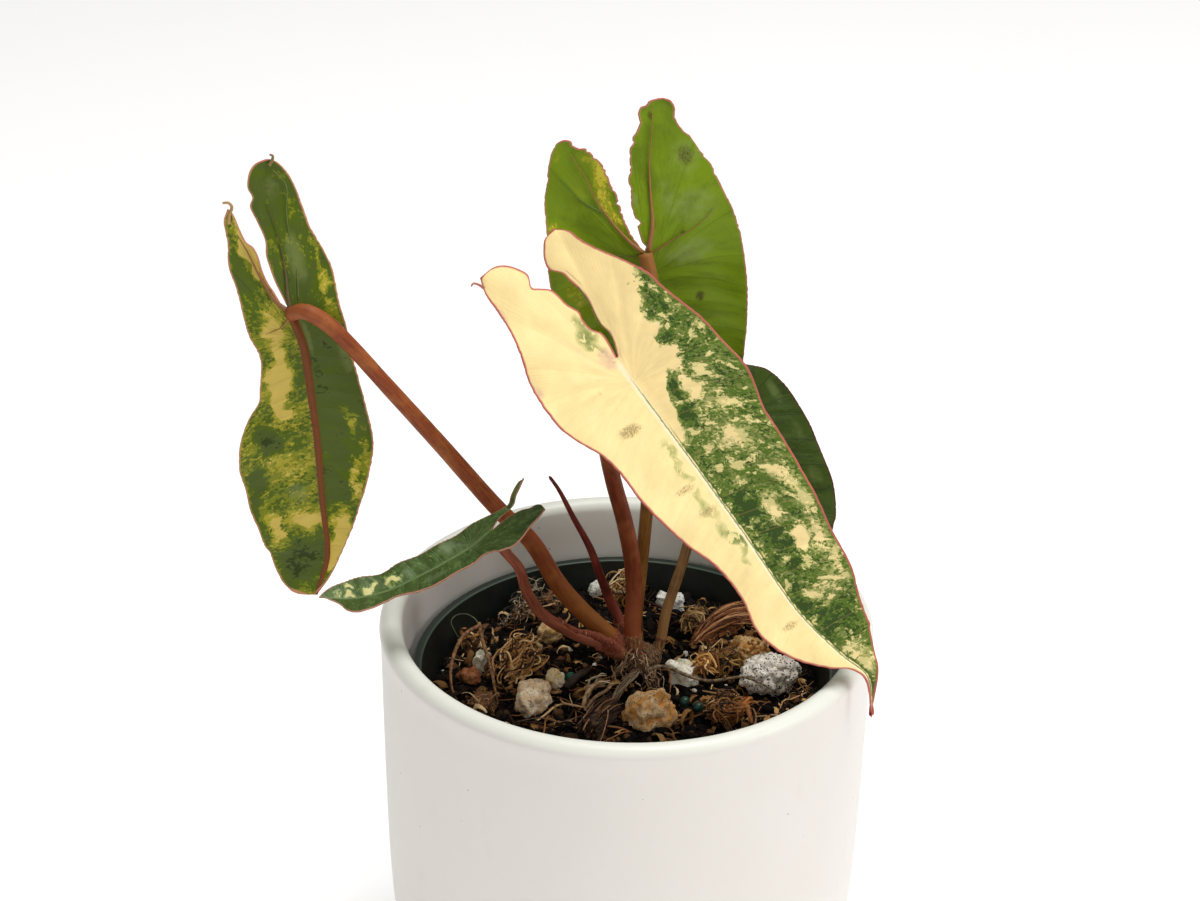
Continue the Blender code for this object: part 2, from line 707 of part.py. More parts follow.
def turned(name, profile, steps, collection, material):
    """Turns a profile of (radius, height) points about Z into a solid, with a Screw modifier."""
    mesh = bmesh.new()
    verts = [mesh.verts.new((radius * MM, 0.0, height * MM)) for radius, height in profile]
    for a, b in zip(verts, verts[1:]):
        mesh.edges.new((a, b))
    data = bpy.data.meshes.new(name)
    mesh.to_mesh(data)
    mesh.free()
    obj = add_object(name, data, collection, material)
    screw = obj.modifiers.new("turn", "SCREW")
    screw.steps = steps
    screw.render_steps = steps
    screw.use_merge_vertices = True
    screw.merge_threshold = 0.00001
    screw.use_smooth_shade = True
    return obj


def apply_modifier(obj, name):
    """Applies one modifier."""
    bpy.ops.object.select_all(action="DESELECT")
    bpy.context.view_layer.objects.active = obj
    obj.select_set(True)
    bpy.ops.object.modifier_apply(modifier=name)


def cut(obj, cutters):
    """Cuts every mesh of a collection from the object."""
    boolean = obj.modifiers.new("cut", "BOOLEAN")
    boolean.operation = "DIFFERENCE"
    boolean.solver = "EXACT"
    boolean.operand_type = "COLLECTION"
    boolean.collection = cutters


def join(obj, other):
    """Unites another mesh with the object."""
    boolean = obj.modifiers.new("join_" + other.name, "BOOLEAN")
    boolean.operation = "UNION"
    boolean.solver = "EXACT"
    boolean.object = other


def cylinder(name, centre, radius, bottom, top, sides, collection):
    """Makes an upright cylinder cutter."""
    bpy.ops.mesh.primitive_cylinder_add(
        vertices=sides,
        radius=radius * MM,
        depth=(top - bottom) * MM,
        location=(centre[0] * MM, centre[1] * MM, (bottom + top) / 2 * MM),
    )
    obj = bpy.context.active_object
    obj.name = name
    for owner in list(obj.users_collection):
        owner.objects.unlink(obj)
    collection.objects.link(obj)
    return hide_helper(obj)


def build_pot(collection):
    """Turns the outer pot: a straight wall with a round bead for a rim and a plain flat foot."""
    deepest = POT_HEIGHT - 3 * POT_FLOOR
    inside = [(radius - POT_WALL, POT_HEIGHT - depth) for depth, radius in POT_SIDE if depth < deepest]
    inside.reverse()
    bead_radius = POT_RIM_RADIUS - POT_RIM_BEAD
    bead_height = POT_HEIGHT - POT_RIM_BEAD
    bead = []
    for step in range(BEAD_STEPS + 1):
        angle = math.pi * (1 - step / BEAD_STEPS)
        bead.append((bead_radius + POT_RIM_BEAD * math.cos(angle), bead_height + POT_RIM_BEAD * math.sin(angle)))
    outside = [(radius, POT_HEIGHT - depth) for depth, radius in POT_SIDE + POT_FOOT_CURVE]
    floor_edge = POT_FOOT_RADIUS - POT_WALL
    corner_width, corner_height = POT_FLOOR_CORNER
    profile = [(0, POT_FLOOR), (floor_edge, POT_FLOOR), (floor_edge + corner_width, POT_FLOOR + corner_height)]
    profile += inside + bead + outside + [(POT_FOOT_RADIUS, 0), (0, 0)]
    return turned("outer_pot", profile, TURN_STEPS, collection, make_material("outer_pot", "E9E2DC", 0.45))


def liner_radius(height):
    """Gives the outside radius of the nursery pot's wall at a height."""
    share = (height - LINER_BASE) / (LINER_RIM_HEIGHT - LINER_BASE)
    return LINER_BASE_RADIUS + (LINER_RIM_RADIUS - LINER_LIP - LINER_BASE_RADIUS) * share


def build_liner(collection, cutters):
    """Turns the nursery pot and cuts its drainage holes."""
    floor = LINER_BASE + LINER_WALL
    lip_bottom = LINER_RIM_HEIGHT - LINER_LIP_DEPTH
    lip_inside = liner_radius(LINER_RIM_HEIGHT) - LINER_WALL
    inner, outer, under = LINER_LIP_CORNERS
    foot_width, foot_height = LINER_BASE_CORNER
    profile = [
        (0, floor),
        (liner_radius(floor) - LINER_WALL, floor),
        (lip_inside, LINER_RIM_HEIGHT - inner),
        (lip_inside + inner, LINER_RIM_HEIGHT),
        (LINER_RIM_RADIUS - outer, LINER_RIM_HEIGHT),
        (LINER_RIM_RADIUS, LINER_RIM_HEIGHT - under),
        (LINER_RIM_RADIUS, lip_bottom),
        (liner_radius(lip_bottom), lip_bottom - under),
        (LINER_BASE_RADIUS + foot_width, LINER_BASE + foot_height),
        (LINER_BASE_RADIUS - foot_width, LINER_BASE),
        (0, LINER_BASE),
    ]
    obj = turned("liner_pot", profile, TURN_STEPS, collection, make_material("liner_pot", "1C2A1E", 0.5))
    for i in range(LINER_HOLES):
        angle = 2 * math.pi * (i + 0.5) / LINER_HOLES
        centre = (LINER_HOLE_RING * math.cos(angle), LINER_HOLE_RING * math.sin(angle))
        cylinder(f"drain_{i}", centre, LINER_HOLE_RADIUS, LINER_BASE - 1, floor + 1, LINER_HOLE_STEPS, cutters)
    cut(obj, cutters)
    return obj


def soil_height(x, y):
    """Gives the height of the soil's surface: level, with lumps and a rise at the back."""
    lumps = noise.noise(Vector((x, y, 3.0)) / SOIL_LUMP_SIZE)
    lumps += 0.5 * noise.noise(Vector((x, y, 9.0)) / SOIL_LUMP_SIZE * 2)
    back = min(max((y - SOIL_BACK_START) / (SOIL_BACK_END - SOIL_BACK_START), 0), 1)
    return SOIL_TOP + SOIL_LUMP * lumps + SOIL_BACK_RISE * back * back * (3 - 2 * back)


def build_soil(collection, seats):
    """Turns the soil body, raises its surface by the height formula and cuts the seats of what it holds."""
    top_radius = liner_radius(SOIL_TOP) - LINER_WALL - GAP
    bottom = LINER_BASE + LINER_WALL + GAP
    bottom_radius = liner_radius(bottom) - LINER_WALL - GAP
    profile = [(top_radius * i / SOIL_RINGS, SOIL_TOP) for i in range(SOIL_RINGS + 1)]
    profile += [(bottom_radius, bottom), (0, bottom)]
    obj = turned("soil", profile, SOIL_STEPS, collection, make_material("soil", "2A1C12", 0.9))
    apply_modifier(obj, "turn")
    middle = (SOIL_TOP + bottom) / 2 * MM
    for vert in obj.data.vertices:
        if vert.co.z > middle:
            vert.co.z = soil_height(vert.co.x / MM, vert.co.y / MM) * MM
    mesh = bmesh.new()
    mesh.from_mesh(obj.data)
    bmesh.ops.triangulate(mesh, faces=mesh.faces)
    mesh.to_mesh(obj.data)
    mesh.free()
    cylinder("crown_hole", CROWN, CROWN_RADIUS + GAP, CROWN_BOTTOM - GAP, CROWN_HOLE_TOP, CROWN_HOLE_STEPS, seats)
    cut(obj, seats)
    return obj


def lump_mesh(name, lump, grow):
    """Makes a stone or a chunk with a rough surface, swollen by grow for its seat in the soil."""
    mesh = bmesh.new()
    if lump.blocky:
        bmesh.ops.create_cube(mesh, size=BLOCK_SIZE)
        bmesh.ops.subdivide_edges(mesh, edges=mesh.edges, cuts=2, use_grid_fill=True)
    else:
        bmesh.ops.create_icosphere(mesh, subdivisions=2, radius=1.0)
    turn = Matrix.Rotation(math.radians(lump.turn), 3, "Z")
    swell = 1 + grow / min(lump.half)
    for vert in mesh.verts:
        point = vert.co.copy()
        bump = noise.noise(point * ROUGH_SIZE + Vector((lump.seed * 7.0, 0, 0)))
        fine = noise.noise(point * FINE_SIZE + Vector((0, lump.seed * 5.0, 0)))
        point *= 1 + lump.rough * (bump + 0.5 * fine)
        sized = Vector((point.x * lump.half[0], point.y * lump.half[1], point.z * lump.half[2])) * swell
        vert.co = (turn @ sized + Vector(lump.centre)) * MM
    bmesh.ops.triangulate(mesh, faces=mesh.faces)
    data = bpy.data.meshes.new(name)
    mesh.to_mesh(data)
    mesh.free()
    return data


def build_lumps(collection, seats):
    """Builds the stones, chips, husk and prills, each with its seat in the soil."""
    lumps = list(LUMPS)
    for index, (name, (x, y)) in enumerate(PRILLS.items()):
        half = (PRILL_RADIUS,) * 3
        centre = (x, y, soil_height(x, y) + 0.5 * PRILL_RADIUS)
        lumps.append(Lump(name, centre, half, 0, 0.0, False, PRILL_COLOUR, 30 + index))
    for lump in lumps:
        material = make_material(lump.name, lump.colour, 0.85)
        shade_smooth(add_object(lump.name, lump_mesh(lump.name, lump, 0.0), collection, material))
        seat = add_object("seat_" + lump.name, lump_mesh("seat_" + lump.name, lump, SEAT_GROWTH), seats)
        hide_helper(seat)


def seated_route(stalk):
    """Adds the end of a stalk's route, where its square end clears the underside of the blade's joint."""
    route = [Vector(p) for p in stalk.route]
    if stalk.leaf is None:
        return route
    joint, normal = Blade(stalk.leaf).joint()
    end = joint - normal * (RIB_THICKNESS + GAP)
    for _ in range(SEAT_ROUNDS):
        along = (end - route[-1]).normalized().dot(normal)
        lean = stalk.radii[1] * math.sqrt(1 - along * along)
        end = joint - normal * (RIB_THICKNESS + GAP + lean)
    return [*route, end]


def build_stalks(collection, sheaths):
    """Builds the leaf stalks and the new spear, and the sheath of each as an operand for the crown."""
    for stalk in STALKS:
        path = Path(smooth_line(seated_route(stalk)))
        material = make_material(stalk.name, stalk.colour, 0.4)
        points = path.square_ended(STALK_POINTS, stalk.sheath + GAP)
        start_radius = stalk.radius_at(stalk.sheath / path.length)
        tube(stalk.name, points, (start_radius, stalk.radii[1]), collection, material)
        points = path.square_ended(SHEATH_POINTS, 0.0, stalk.sheath)
        sheath = tube("sheath_" + stalk.name, points, (stalk.radii[0],) * 2, sheaths, None)
        hide_helper(to_mesh_object(sheath, sheaths))


def build_crown(collection, sheaths):
    """Unites the short stem, the sheaths of all stalks, the dry spur and the aerial root."""
    bpy.ops.mesh.primitive_cylinder_add(
        vertices=CROWN_STEPS,
        radius=CROWN_RADIUS * MM,
        depth=(CROWN_TOP - CROWN_BOTTOM) * MM,
        location=(CROWN[0] * MM, CROWN[1] * MM, (CROWN_TOP + CROWN_BOTTOM) / 2 * MM),
    )
    obj = bpy.context.active_object
    obj.name = "crown"
    for owner in list(obj.users_collection):
        owner.objects.unlink(obj)
    collection.objects.link(obj)
    obj.data.materials.append(make_material("crown", "7A4632", 0.6))
    bpy.ops.mesh.primitive_uv_sphere_add(segments=CROWN_STEPS, ring_count=CROWN_STEPS // 2, radius=MM)
    head = bpy.context.active_object
    head.name = "crown_head"
    head.scale = CROWN_HEAD
    head.location = (CROWN[0] * MM, CROWN[1] * MM, CROWN_TOP * MM)
    for owner in list(head.users_collection):
        owner.objects.unlink(head)
    sheaths.objects.link(hide_helper(head))
    spur = tube("sheath_spur", Path(smooth_line(SHEATH_SPUR)).even(7), SHEATH_SPUR_RADII, sheaths, None)
    hide_helper(to_mesh_object(spur, sheaths))
    root = tube("aerial_root", Path(smooth_line(AERIAL_ROOT)).even(6), AERIAL_ROOT_RADII, sheaths, None)
    hide_helper(to_mesh_object(root, sheaths))
    for other in sheaths.objects:
        join(obj, other)
    shade_smooth(obj)
    return obj


def main():
    """Builds the potted plant."""
    clear_scene()
    plant = new_collection("potted_philodendron")
    drains = new_collection("drain_cutters")
    seats = new_collection("soil_seats")
    sheaths = new_collection("crown_operands")
    build_pot(plant)
    build_liner(plant, drains)
    build_lumps(plant, seats)
    build_stalks(plant, sheaths)
    build_crown(plant, sheaths)
    build_soil(plant, seats)
    for leaf in LEAVES:
        build_leaf(leaf, plant)


main()
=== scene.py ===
"""Looks of a potted variegated philodendron: blades, stalks, crown, potting mix, nursery pot and outer pot.

Sizes are in millimetres and become metres through MM. X runs right, Y away from the viewer and Z up.
The pot stands on Z = 0 with its axis on X = Y = 0.
"""

import logging
import math
import random
from collections.abc import Callable, Sequence
from dataclasses import dataclass, field
from enum import Enum

import bpy
from mathutils import Matrix, Vector, noise

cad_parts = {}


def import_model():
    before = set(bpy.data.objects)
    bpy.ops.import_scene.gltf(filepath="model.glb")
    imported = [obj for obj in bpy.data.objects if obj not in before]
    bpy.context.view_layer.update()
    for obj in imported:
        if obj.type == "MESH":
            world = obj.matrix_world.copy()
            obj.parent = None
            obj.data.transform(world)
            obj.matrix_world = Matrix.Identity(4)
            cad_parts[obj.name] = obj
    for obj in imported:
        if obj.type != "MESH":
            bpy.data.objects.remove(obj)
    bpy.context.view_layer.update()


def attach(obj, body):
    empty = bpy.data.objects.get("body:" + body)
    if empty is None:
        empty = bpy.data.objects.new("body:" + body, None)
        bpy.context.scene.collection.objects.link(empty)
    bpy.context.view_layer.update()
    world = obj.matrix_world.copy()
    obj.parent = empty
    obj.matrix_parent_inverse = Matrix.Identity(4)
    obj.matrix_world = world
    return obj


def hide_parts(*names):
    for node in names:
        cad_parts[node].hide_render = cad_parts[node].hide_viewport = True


MM = 0.001
BODY = "root"
log = logging.getLogger("philodendron")


def linear(code: str) -> tuple[float, float, float, float]:
    """Turns a hexadecimal colour into linear red, green, blue and alpha.

    Args:
        code: six hexadecimal digits.

    Returns:
        The colour as Blender's sockets take it.
    """
    values = [int(code[i : i + 2], 16) / 255 for i in (0, 2, 4)]
    red, green, blue = (v / 12.92 if v <= 0.04045 else ((v + 0.055) / 1.055) ** 2.4 for v in values)
    return (red, green, blue, 1.0)


class Value:
    """A shader socket. Arithmetic on it adds Math nodes."""

    def __init__(self, tree: bpy.types.NodeTree, socket: bpy.types.NodeSocket) -> None:
        """Wraps an output socket of a node tree."""
        self.tree = tree
        self.socket = socket

    def link(self, slot: bpy.types.NodeSocket) -> None:
        """Links this value to an input."""
        self.tree.links.new(self.socket, slot)

    def combine(self, operation: str, *items: "Value | float") -> "Value":
        """Adds a Math node over the items.

        Args:
            operation: the Math node's operation.
            items: its inputs in order.

        Returns:
            The node's result.
        """
        node = self.tree.nodes.new("ShaderNodeMath")
        node.operation = operation
        for slot, item in zip(node.inputs, items):
            if isinstance(item, Value):
                item.link(slot)
            else:
                slot.default_value = item
        return Value(self.tree, node.outputs[0])

    def __add__(self, other: "Value | float") -> "Value":
        """Adds."""
        return self.combine("ADD", self, other)

    def __radd__(self, other: float) -> "Value":
        """Adds to a number."""
        return self.combine("ADD", other, self)

    def __sub__(self, other: "Value | float") -> "Value":
        """Subtracts."""
        return self.combine("SUBTRACT", self, other)

    def __rsub__(self, other: float) -> "Value":
        """Subtracts from a number."""
        return self.combine("SUBTRACT", other, self)

    def __mul__(self, other: "Value | float") -> "Value":
        """Multiplies."""
        return self.combine("MULTIPLY", self, other)

    def __rmul__(self, other: float) -> "Value":
        """Multiplies a number."""
        return self.combine("MULTIPLY", other, self)

    def __truediv__(self, other: "Value | float") -> "Value":
        """Divides."""
        return self.combine("DIVIDE", self, other)

    def __pow__(self, other: float) -> "Value":
        """Raises to a power."""
        return self.combine("POWER", self, other)

    def __abs__(self) -> "Value":
        """Drops the sign."""
        return self.combine("ABSOLUTE", self)

    def fract(self) -> "Value":
        """Keeps the part after the point."""
        return self.combine("FRACT", self)

    def sine(self) -> "Value":
        """Takes the sine."""
        return self.combine("SINE", self)

    def least(self, other: "Value | float") -> "Value":
        """Takes the smaller of two."""
        return self.combine("MINIMUM", self, other)

    def most(self, other: "Value | float") -> "Value":
        """Takes the larger of two."""
        return self.combine("MAXIMUM", self, other)


class Paint:
    """A material under construction: one method adds any node, the others are short forms of it."""

    def __init__(self, name: str) -> None:
        """Starts a material with its Principled shader."""
        self.material = bpy.data.materials.new(name)
        self.material.use_nodes = True
        self.tree = self.material.node_tree
        self.shader = self.tree.nodes["Principled BSDF"]

    def node(self, kind: str, settings: dict | None = None, inputs: dict | None = None, output: int | str = 0) -> Value:
        """Adds a node.

        Args:
            kind: the node's type, without its ShaderNode prefix.
            settings: properties, set before the inputs.
            inputs: constants or values by socket name or number.
            output: the socket to read.

        Returns:
            The output as a value.
        """
        node = self.tree.nodes.new("ShaderNode" + kind)
        for key, setting in (settings or {}).items():
            setattr(node, key, setting)
        for key, item in (inputs or {}).items():
            if isinstance(item, Value):
                item.link(node.inputs[key])
            else:
                node.inputs[key].default_value = item
        return Value(self.tree, node.outputs[output])

    def spot(self, stretch: tuple[float, float, float] = (1, 1, 1), turn: float = 0.0) -> Value:
        """Reads Object coordinates in millimetres, stretched per axis and turned about Z in degrees."""
        place = self.node("TexCoord", output="Object")
        scale = tuple(s / MM for s in stretch)
        angles = (0.0, 0.0, math.radians(turn))
        return self.node("Mapping", inputs={"Vector": place, "Scale": scale, "Rotation": angles})

    def attribute(self, name: str, output: str = "Vector") -> Value:
        """Reads one of the piece's own attributes."""
        return self.node("Attribute", {"attribute_name": name}, output=output)

    def split(self, vector: Value) -> tuple[Value, Value, Value]:
        """Splits a vector into its three numbers."""
        node = self.tree.nodes.new("ShaderNodeSeparateXYZ")
        vector.link(node.inputs[0])
        return tuple(Value(self.tree, socket) for socket in node.outputs)

    def merge(self, x: "Value | float", y: "Value | float", z: "Value | float" = 0.0) -> Value:
        """Builds a vector from three numbers."""
        return self.node("CombineXYZ", inputs={0: x, 1: y, 2: z})

    def noise(self, vector: Value, size: float, detail: float = 3.0, rough: float = 0.5, warp: float = 0.0) -> Value:
        """Reads noise whose features are about size across, in the vector's unit."""
        inputs = {"Vector": vector, "Scale": 1 / size, "Detail": detail, "Roughness": rough, "Distortion": warp}
        return self.node("TexNoise", inputs=inputs, output=0)

    def spread(self, vector: Value, size: float, detail: float = 3.0, rough: float = 0.5, warp: float = 0.0) -> Value:
        """Reads the same noise, stretched to fill the range from 0 to 1."""
        inputs = {"Value": self.noise(vector, size, detail, rough, warp), "From Min": 0.28, "From Max": 0.72}
        return self.node("MapRange", inputs=inputs)

    def cells(self, vector: Value, size: float, output: str = "Distance", feature: str = "F1") -> Value:
        """Reads Voronoi cells of about the given size."""
        return self.node("TexVoronoi", {"feature": feature}, {"Vector": vector, "Scale": 1 / size}, output)

    def step(self, value: Value, low: float, high: float) -> Value:
        """Rises smoothly from 0 at low to 1 at high."""
        inputs = {"Value": value, "From Min": low, "From Max": high}
        return self.node("MapRange", {"interpolation_type": "SMOOTHSTEP"}, inputs)

    def mix(self, share: "Value | float", first: "Value | str", second: "Value | str", blend: str = "MIX") -> Value:
        """Mixes two colours, each a value or a hexadecimal code."""
        pair = [linear(c) if isinstance(c, str) else c for c in (first, second)]
        return self.node("Mix", {"data_type": "RGBA", "blend_type": blend}, {0: share, 6: pair[0], 7: pair[1]}, 2)

    def grain(self, colour: Value, value: Value, amount: float) -> Value:
        """Darkens and lightens a colour by a value around one half."""
        shade = self.node("Mix", {"data_type": "RGBA"}, {0: value, 6: (1 - amount,) * 3 + (1,), 7: (1 + amount,) * 3 + (1,)}, 2)
        return self.mix(1.0, colour, shade, "MULTIPLY")

    def finish(
        self, base: Value, rough: "Value | float", height: Value | None = None, depth: float = 0.1, **constants: float
    ) -> bpy.types.Material:
        """Links the shader's inputs.

        Args:
            base: the colour.
            rough: the roughness.
            height: the relief for the bump, from 0 to 1.
            depth: how deep the relief is, in millimetres.
            constants: other sockets by name, with _ for a blank.

        Returns:
            The finished material.
        """
        base.link(self.shader.inputs["Base Color"])
        if isinstance(rough, Value):
            rough.link(self.shader.inputs["Roughness"])
        else:
            self.shader.inputs["Roughness"].default_value = rough
        if height:
            bump = self.node("Bump", inputs={"Height": height, "Distance": depth * MM, "Strength": 1.0}, output="Normal")
            bump.link(self.shader.inputs["Normal"])
        for key, constant in constants.items():
            self.shader.inputs[key.replace("_", " ")].default_value = constant
        return self.material


def select_only(*objects: bpy.types.Object) -> None:
    """Selects these objects alone, the first one active."""
    bpy.ops.object.select_all(action="DESELECT")
    for obj in objects:
        obj.select_set(True)
    bpy.context.view_layer.objects.active = objects[0]


def apply_modifier(obj: bpy.types.Object, kind: str, **settings: object) -> None:
    """Adds a modifier and applies it."""
    modifier = obj.modifiers.new(kind.lower(), kind)
    for key, setting in settings.items():
        setattr(modifier, key, setting)
    select_only(obj)
    bpy.ops.object.modifier_apply(modifier=modifier.name)


def weld(obj: bpy.types.Object, distance: float = 0.002) -> None:
    """Merges doubled points and turns all faces outwards."""
    select_only(obj)
    bpy.ops.object.mode_set(mode="EDIT")
    bpy.ops.mesh.select_all(action="SELECT")
    bpy.ops.mesh.remove_doubles(threshold=distance * MM)
    bpy.ops.mesh.normals_make_consistent(inside=False)
    bpy.ops.object.mode_set(mode="OBJECT")


def join(name: str, objects: Sequence[bpy.types.Object]) -> bpy.types.Object:
    """Joins objects into one of the given name."""
    select_only(*objects)
    if len(objects) > 1:
        bpy.ops.object.join()
    obj = bpy.context.view_layer.objects.active
    obj.name = name
    obj.data.name = name
    return obj


def dress(obj: bpy.types.Object, *materials: bpy.types.Material) -> bpy.types.Object:
    """Gives an object its materials and smooth shading."""
    obj.data.materials.clear()
    for material in materials:
        obj.data.materials.append(material)
    obj.data.shade_smooth()
    return obj


def settle(obj: bpy.types.Object, *nodes: str) -> None:
    """Lets a finished piece ride on the body, standing for its CAD nodes, and reports it."""
    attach(obj, BODY)
    if nodes:
        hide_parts(*nodes)
        obj.name = f"{nodes[0]}_model"
    log.info("%s: %d faces", obj.name, len(obj.data.polygons))


def sheet(name: str, rows: int, columns: int, place: Callable[[int, int], Vector]) -> bpy.types.Object:
    """Adds a grid primitive and moves each of its points to its place.

    Args:
        name: the object's name.
        rows: faces along the sheet.
        columns: faces across the sheet.
        place: gives a point in millimetres for a row and a column.

    Returns:
        The sheet, open at its edges.
    """
    bpy.ops.object.select_all(action="DESELECT")
    bpy.ops.mesh.primitive_grid_add(x_subdivisions=columns, y_subdivisions=rows, size=1.0)
    obj = bpy.context.active_object
    obj.name = name
    obj.data.name = name
    for index, vert in enumerate(obj.data.vertices):
        row, column = divmod(index, columns + 1)
        vert.co = place(row, column) * MM
    return obj


def smooth_line(points: Sequence, per_span: int = 12) -> list[Vector]:
    """Runs a centripetal Catmull-Rom curve through the points, the end spans with mirrored guides.

    Args:
        points: two or more points.
        per_span: steps between two points.

    Returns:
        The curve as a polyline.
    """
    points = [Vector(p) for p in points]
    guides = [2 * points[0] - points[1], *points, 2 * points[-1] - points[-2]]
    line = []
    for p0, p1, p2, p3 in zip(guides, guides[1:], guides[2:], guides[3:]):
        t1 = (p1 - p0).length ** 0.5
        t2 = t1 + (p2 - p1).length ** 0.5
        t3 = t2 + (p3 - p2).length ** 0.5
        for step in range(per_span):
            t = t1 + (t2 - t1) * step / per_span
            a1 = p0.lerp(p1, t / t1)
            a2 = p1.lerp(p2, (t - t1) / (t2 - t1))
            a3 = p2.lerp(p3, (t - t2) / (t3 - t2))
            b1 = a1.lerp(a2, t / t2)
            b2 = a2.lerp(a3, (t - t1) / (t3 - t1))
            line.append(b1.lerp(b2, (t - t1) / (t2 - t1)))
    line.append(points[-1])
    return line


class Path:
    """A polyline that can be read at a distance from its start."""

    def __init__(self, points: Sequence[Vector]) -> None:
        """Measures the polyline."""
        self.points = points
        self.reach = [0.0]
        for a, b in zip(points, points[1:]):
            self.reach.append(self.reach[-1] + (b - a).length)
        self.length = self.reach[-1]

    def index(self, distance: float) -> tuple[int, float]:
        """Gives the span that holds a distance, and the share of that span passed."""
        distance = min(max(distance, 0.0), self.length)
        low = 0
        high = len(self.reach) - 1
        while high - low > 1:
            middle = (low + high) // 2
            if self.reach[middle] <= distance:
                low = middle
            else:
                high = middle
        span = self.reach[high] - self.reach[low]
        return low, (distance - self.reach[low]) / span if span else 0.0

    def at(self, distance: float) -> Vector:
        """Gives the point at a distance."""
        low, share = self.index(distance)
        return self.points[low].lerp(self.points[low + 1], share)

    def even(self, count: int, start: float = 0.0, end: float | None = None) -> list[Vector]:
        """Gives evenly spaced points."""
        end = self.length if end is None else end
        return [self.at(start + (end - start) * i / (count - 1)) for i in range(count)]


def tube(
    name: str, points: Sequence[Vector], radii: Sequence[float], sides: int = 12, welded: bool = True
) -> bpy.types.Object:
    """Wraps a grid into a closed round tube. Its UV map holds the way round and the way along, in millimetres.

    Args:
        name: the object's name.
        points: the tube's line.
        radii: the radius at each point.
        sides: faces round the tube.
        welded: whether its seam is closed here, and not after it is joined to others.

    Returns:
        The tube, closed at both ends.
    """
    tangents = [(points[min(i + 1, len(points) - 1)] - points[max(i - 1, 0)]).normalized() for i in range(len(points))]
    side = tangents[0].orthogonal().normalized()
    frames = []
    for tangent in tangents:
        side = (side - side.dot(tangent) * tangent).normalized()
        frames.append((side, tangent.cross(side)))
    reach = Path(points).reach
    last = len(points) - 1

    def place(row: int, column: int) -> Vector:
        """Puts the end rows on the axis, and the others round it."""
        index = min(max(row - 1, 0), last)
        if row in (0, last + 2):
            return points[index]
        angle = 2 * math.pi * (column % sides) / sides
        across, up = frames[index]
        return points[index] + radii[index] * (across * math.cos(angle) + up * math.sin(angle))

    obj = sheet(name, last + 2, sides, place)
    girth = 2 * math.pi * max(radii)
    for loop in obj.data.uv_layers[0].data:
        row = round(loop.uv.y * (last + 2))
        loop.uv = (loop.uv.x * girth, reach[min(max(row - 1, 0), last)])
    if welded:
        weld(obj)
    return obj


def turn_profile(name: str, profile: Sequence[tuple[float, float]], steps: int) -> bpy.types.Object:
    """Models a turned piece: a disc is extruded and resized ring by ring along its profile.

    Args:
        name: the object's name.
        profile: (radius, height) points, from the edge of the underside to the edge of the inner floor.
        steps: faces round the axis.

    Returns:
        The closed piece.
    """
    radius, height = profile[0]
    bpy.ops.object.select_all(action="DESELECT")
    bpy.ops.mesh.primitive_circle_add(vertices=steps, radius=radius * MM, fill_type="NGON", location=(0, 0, height * MM))
    obj = bpy.context.active_object
    bpy.ops.object.transform_apply()
    bpy.ops.object.mode_set(mode="EDIT")
    bpy.ops.mesh.select_all(action="SELECT")
    for wide, tall in profile[1:]:
        bpy.ops.mesh.extrude_region_move(TRANSFORM_OT_translate={"value": (0, 0, (tall - height) * MM)})
        share = wide / radius
        bpy.ops.transform.resize(value=(share, share, 1), center_override=(0, 0, tall * MM))
        radius, height = wide, tall
    bpy.ops.mesh.select_all(action="SELECT")
    bpy.ops.mesh.normals_make_consistent(inside=False)
    bpy.ops.object.mode_set(mode="OBJECT")
    obj.name = name
    obj.data.name = name
    return obj


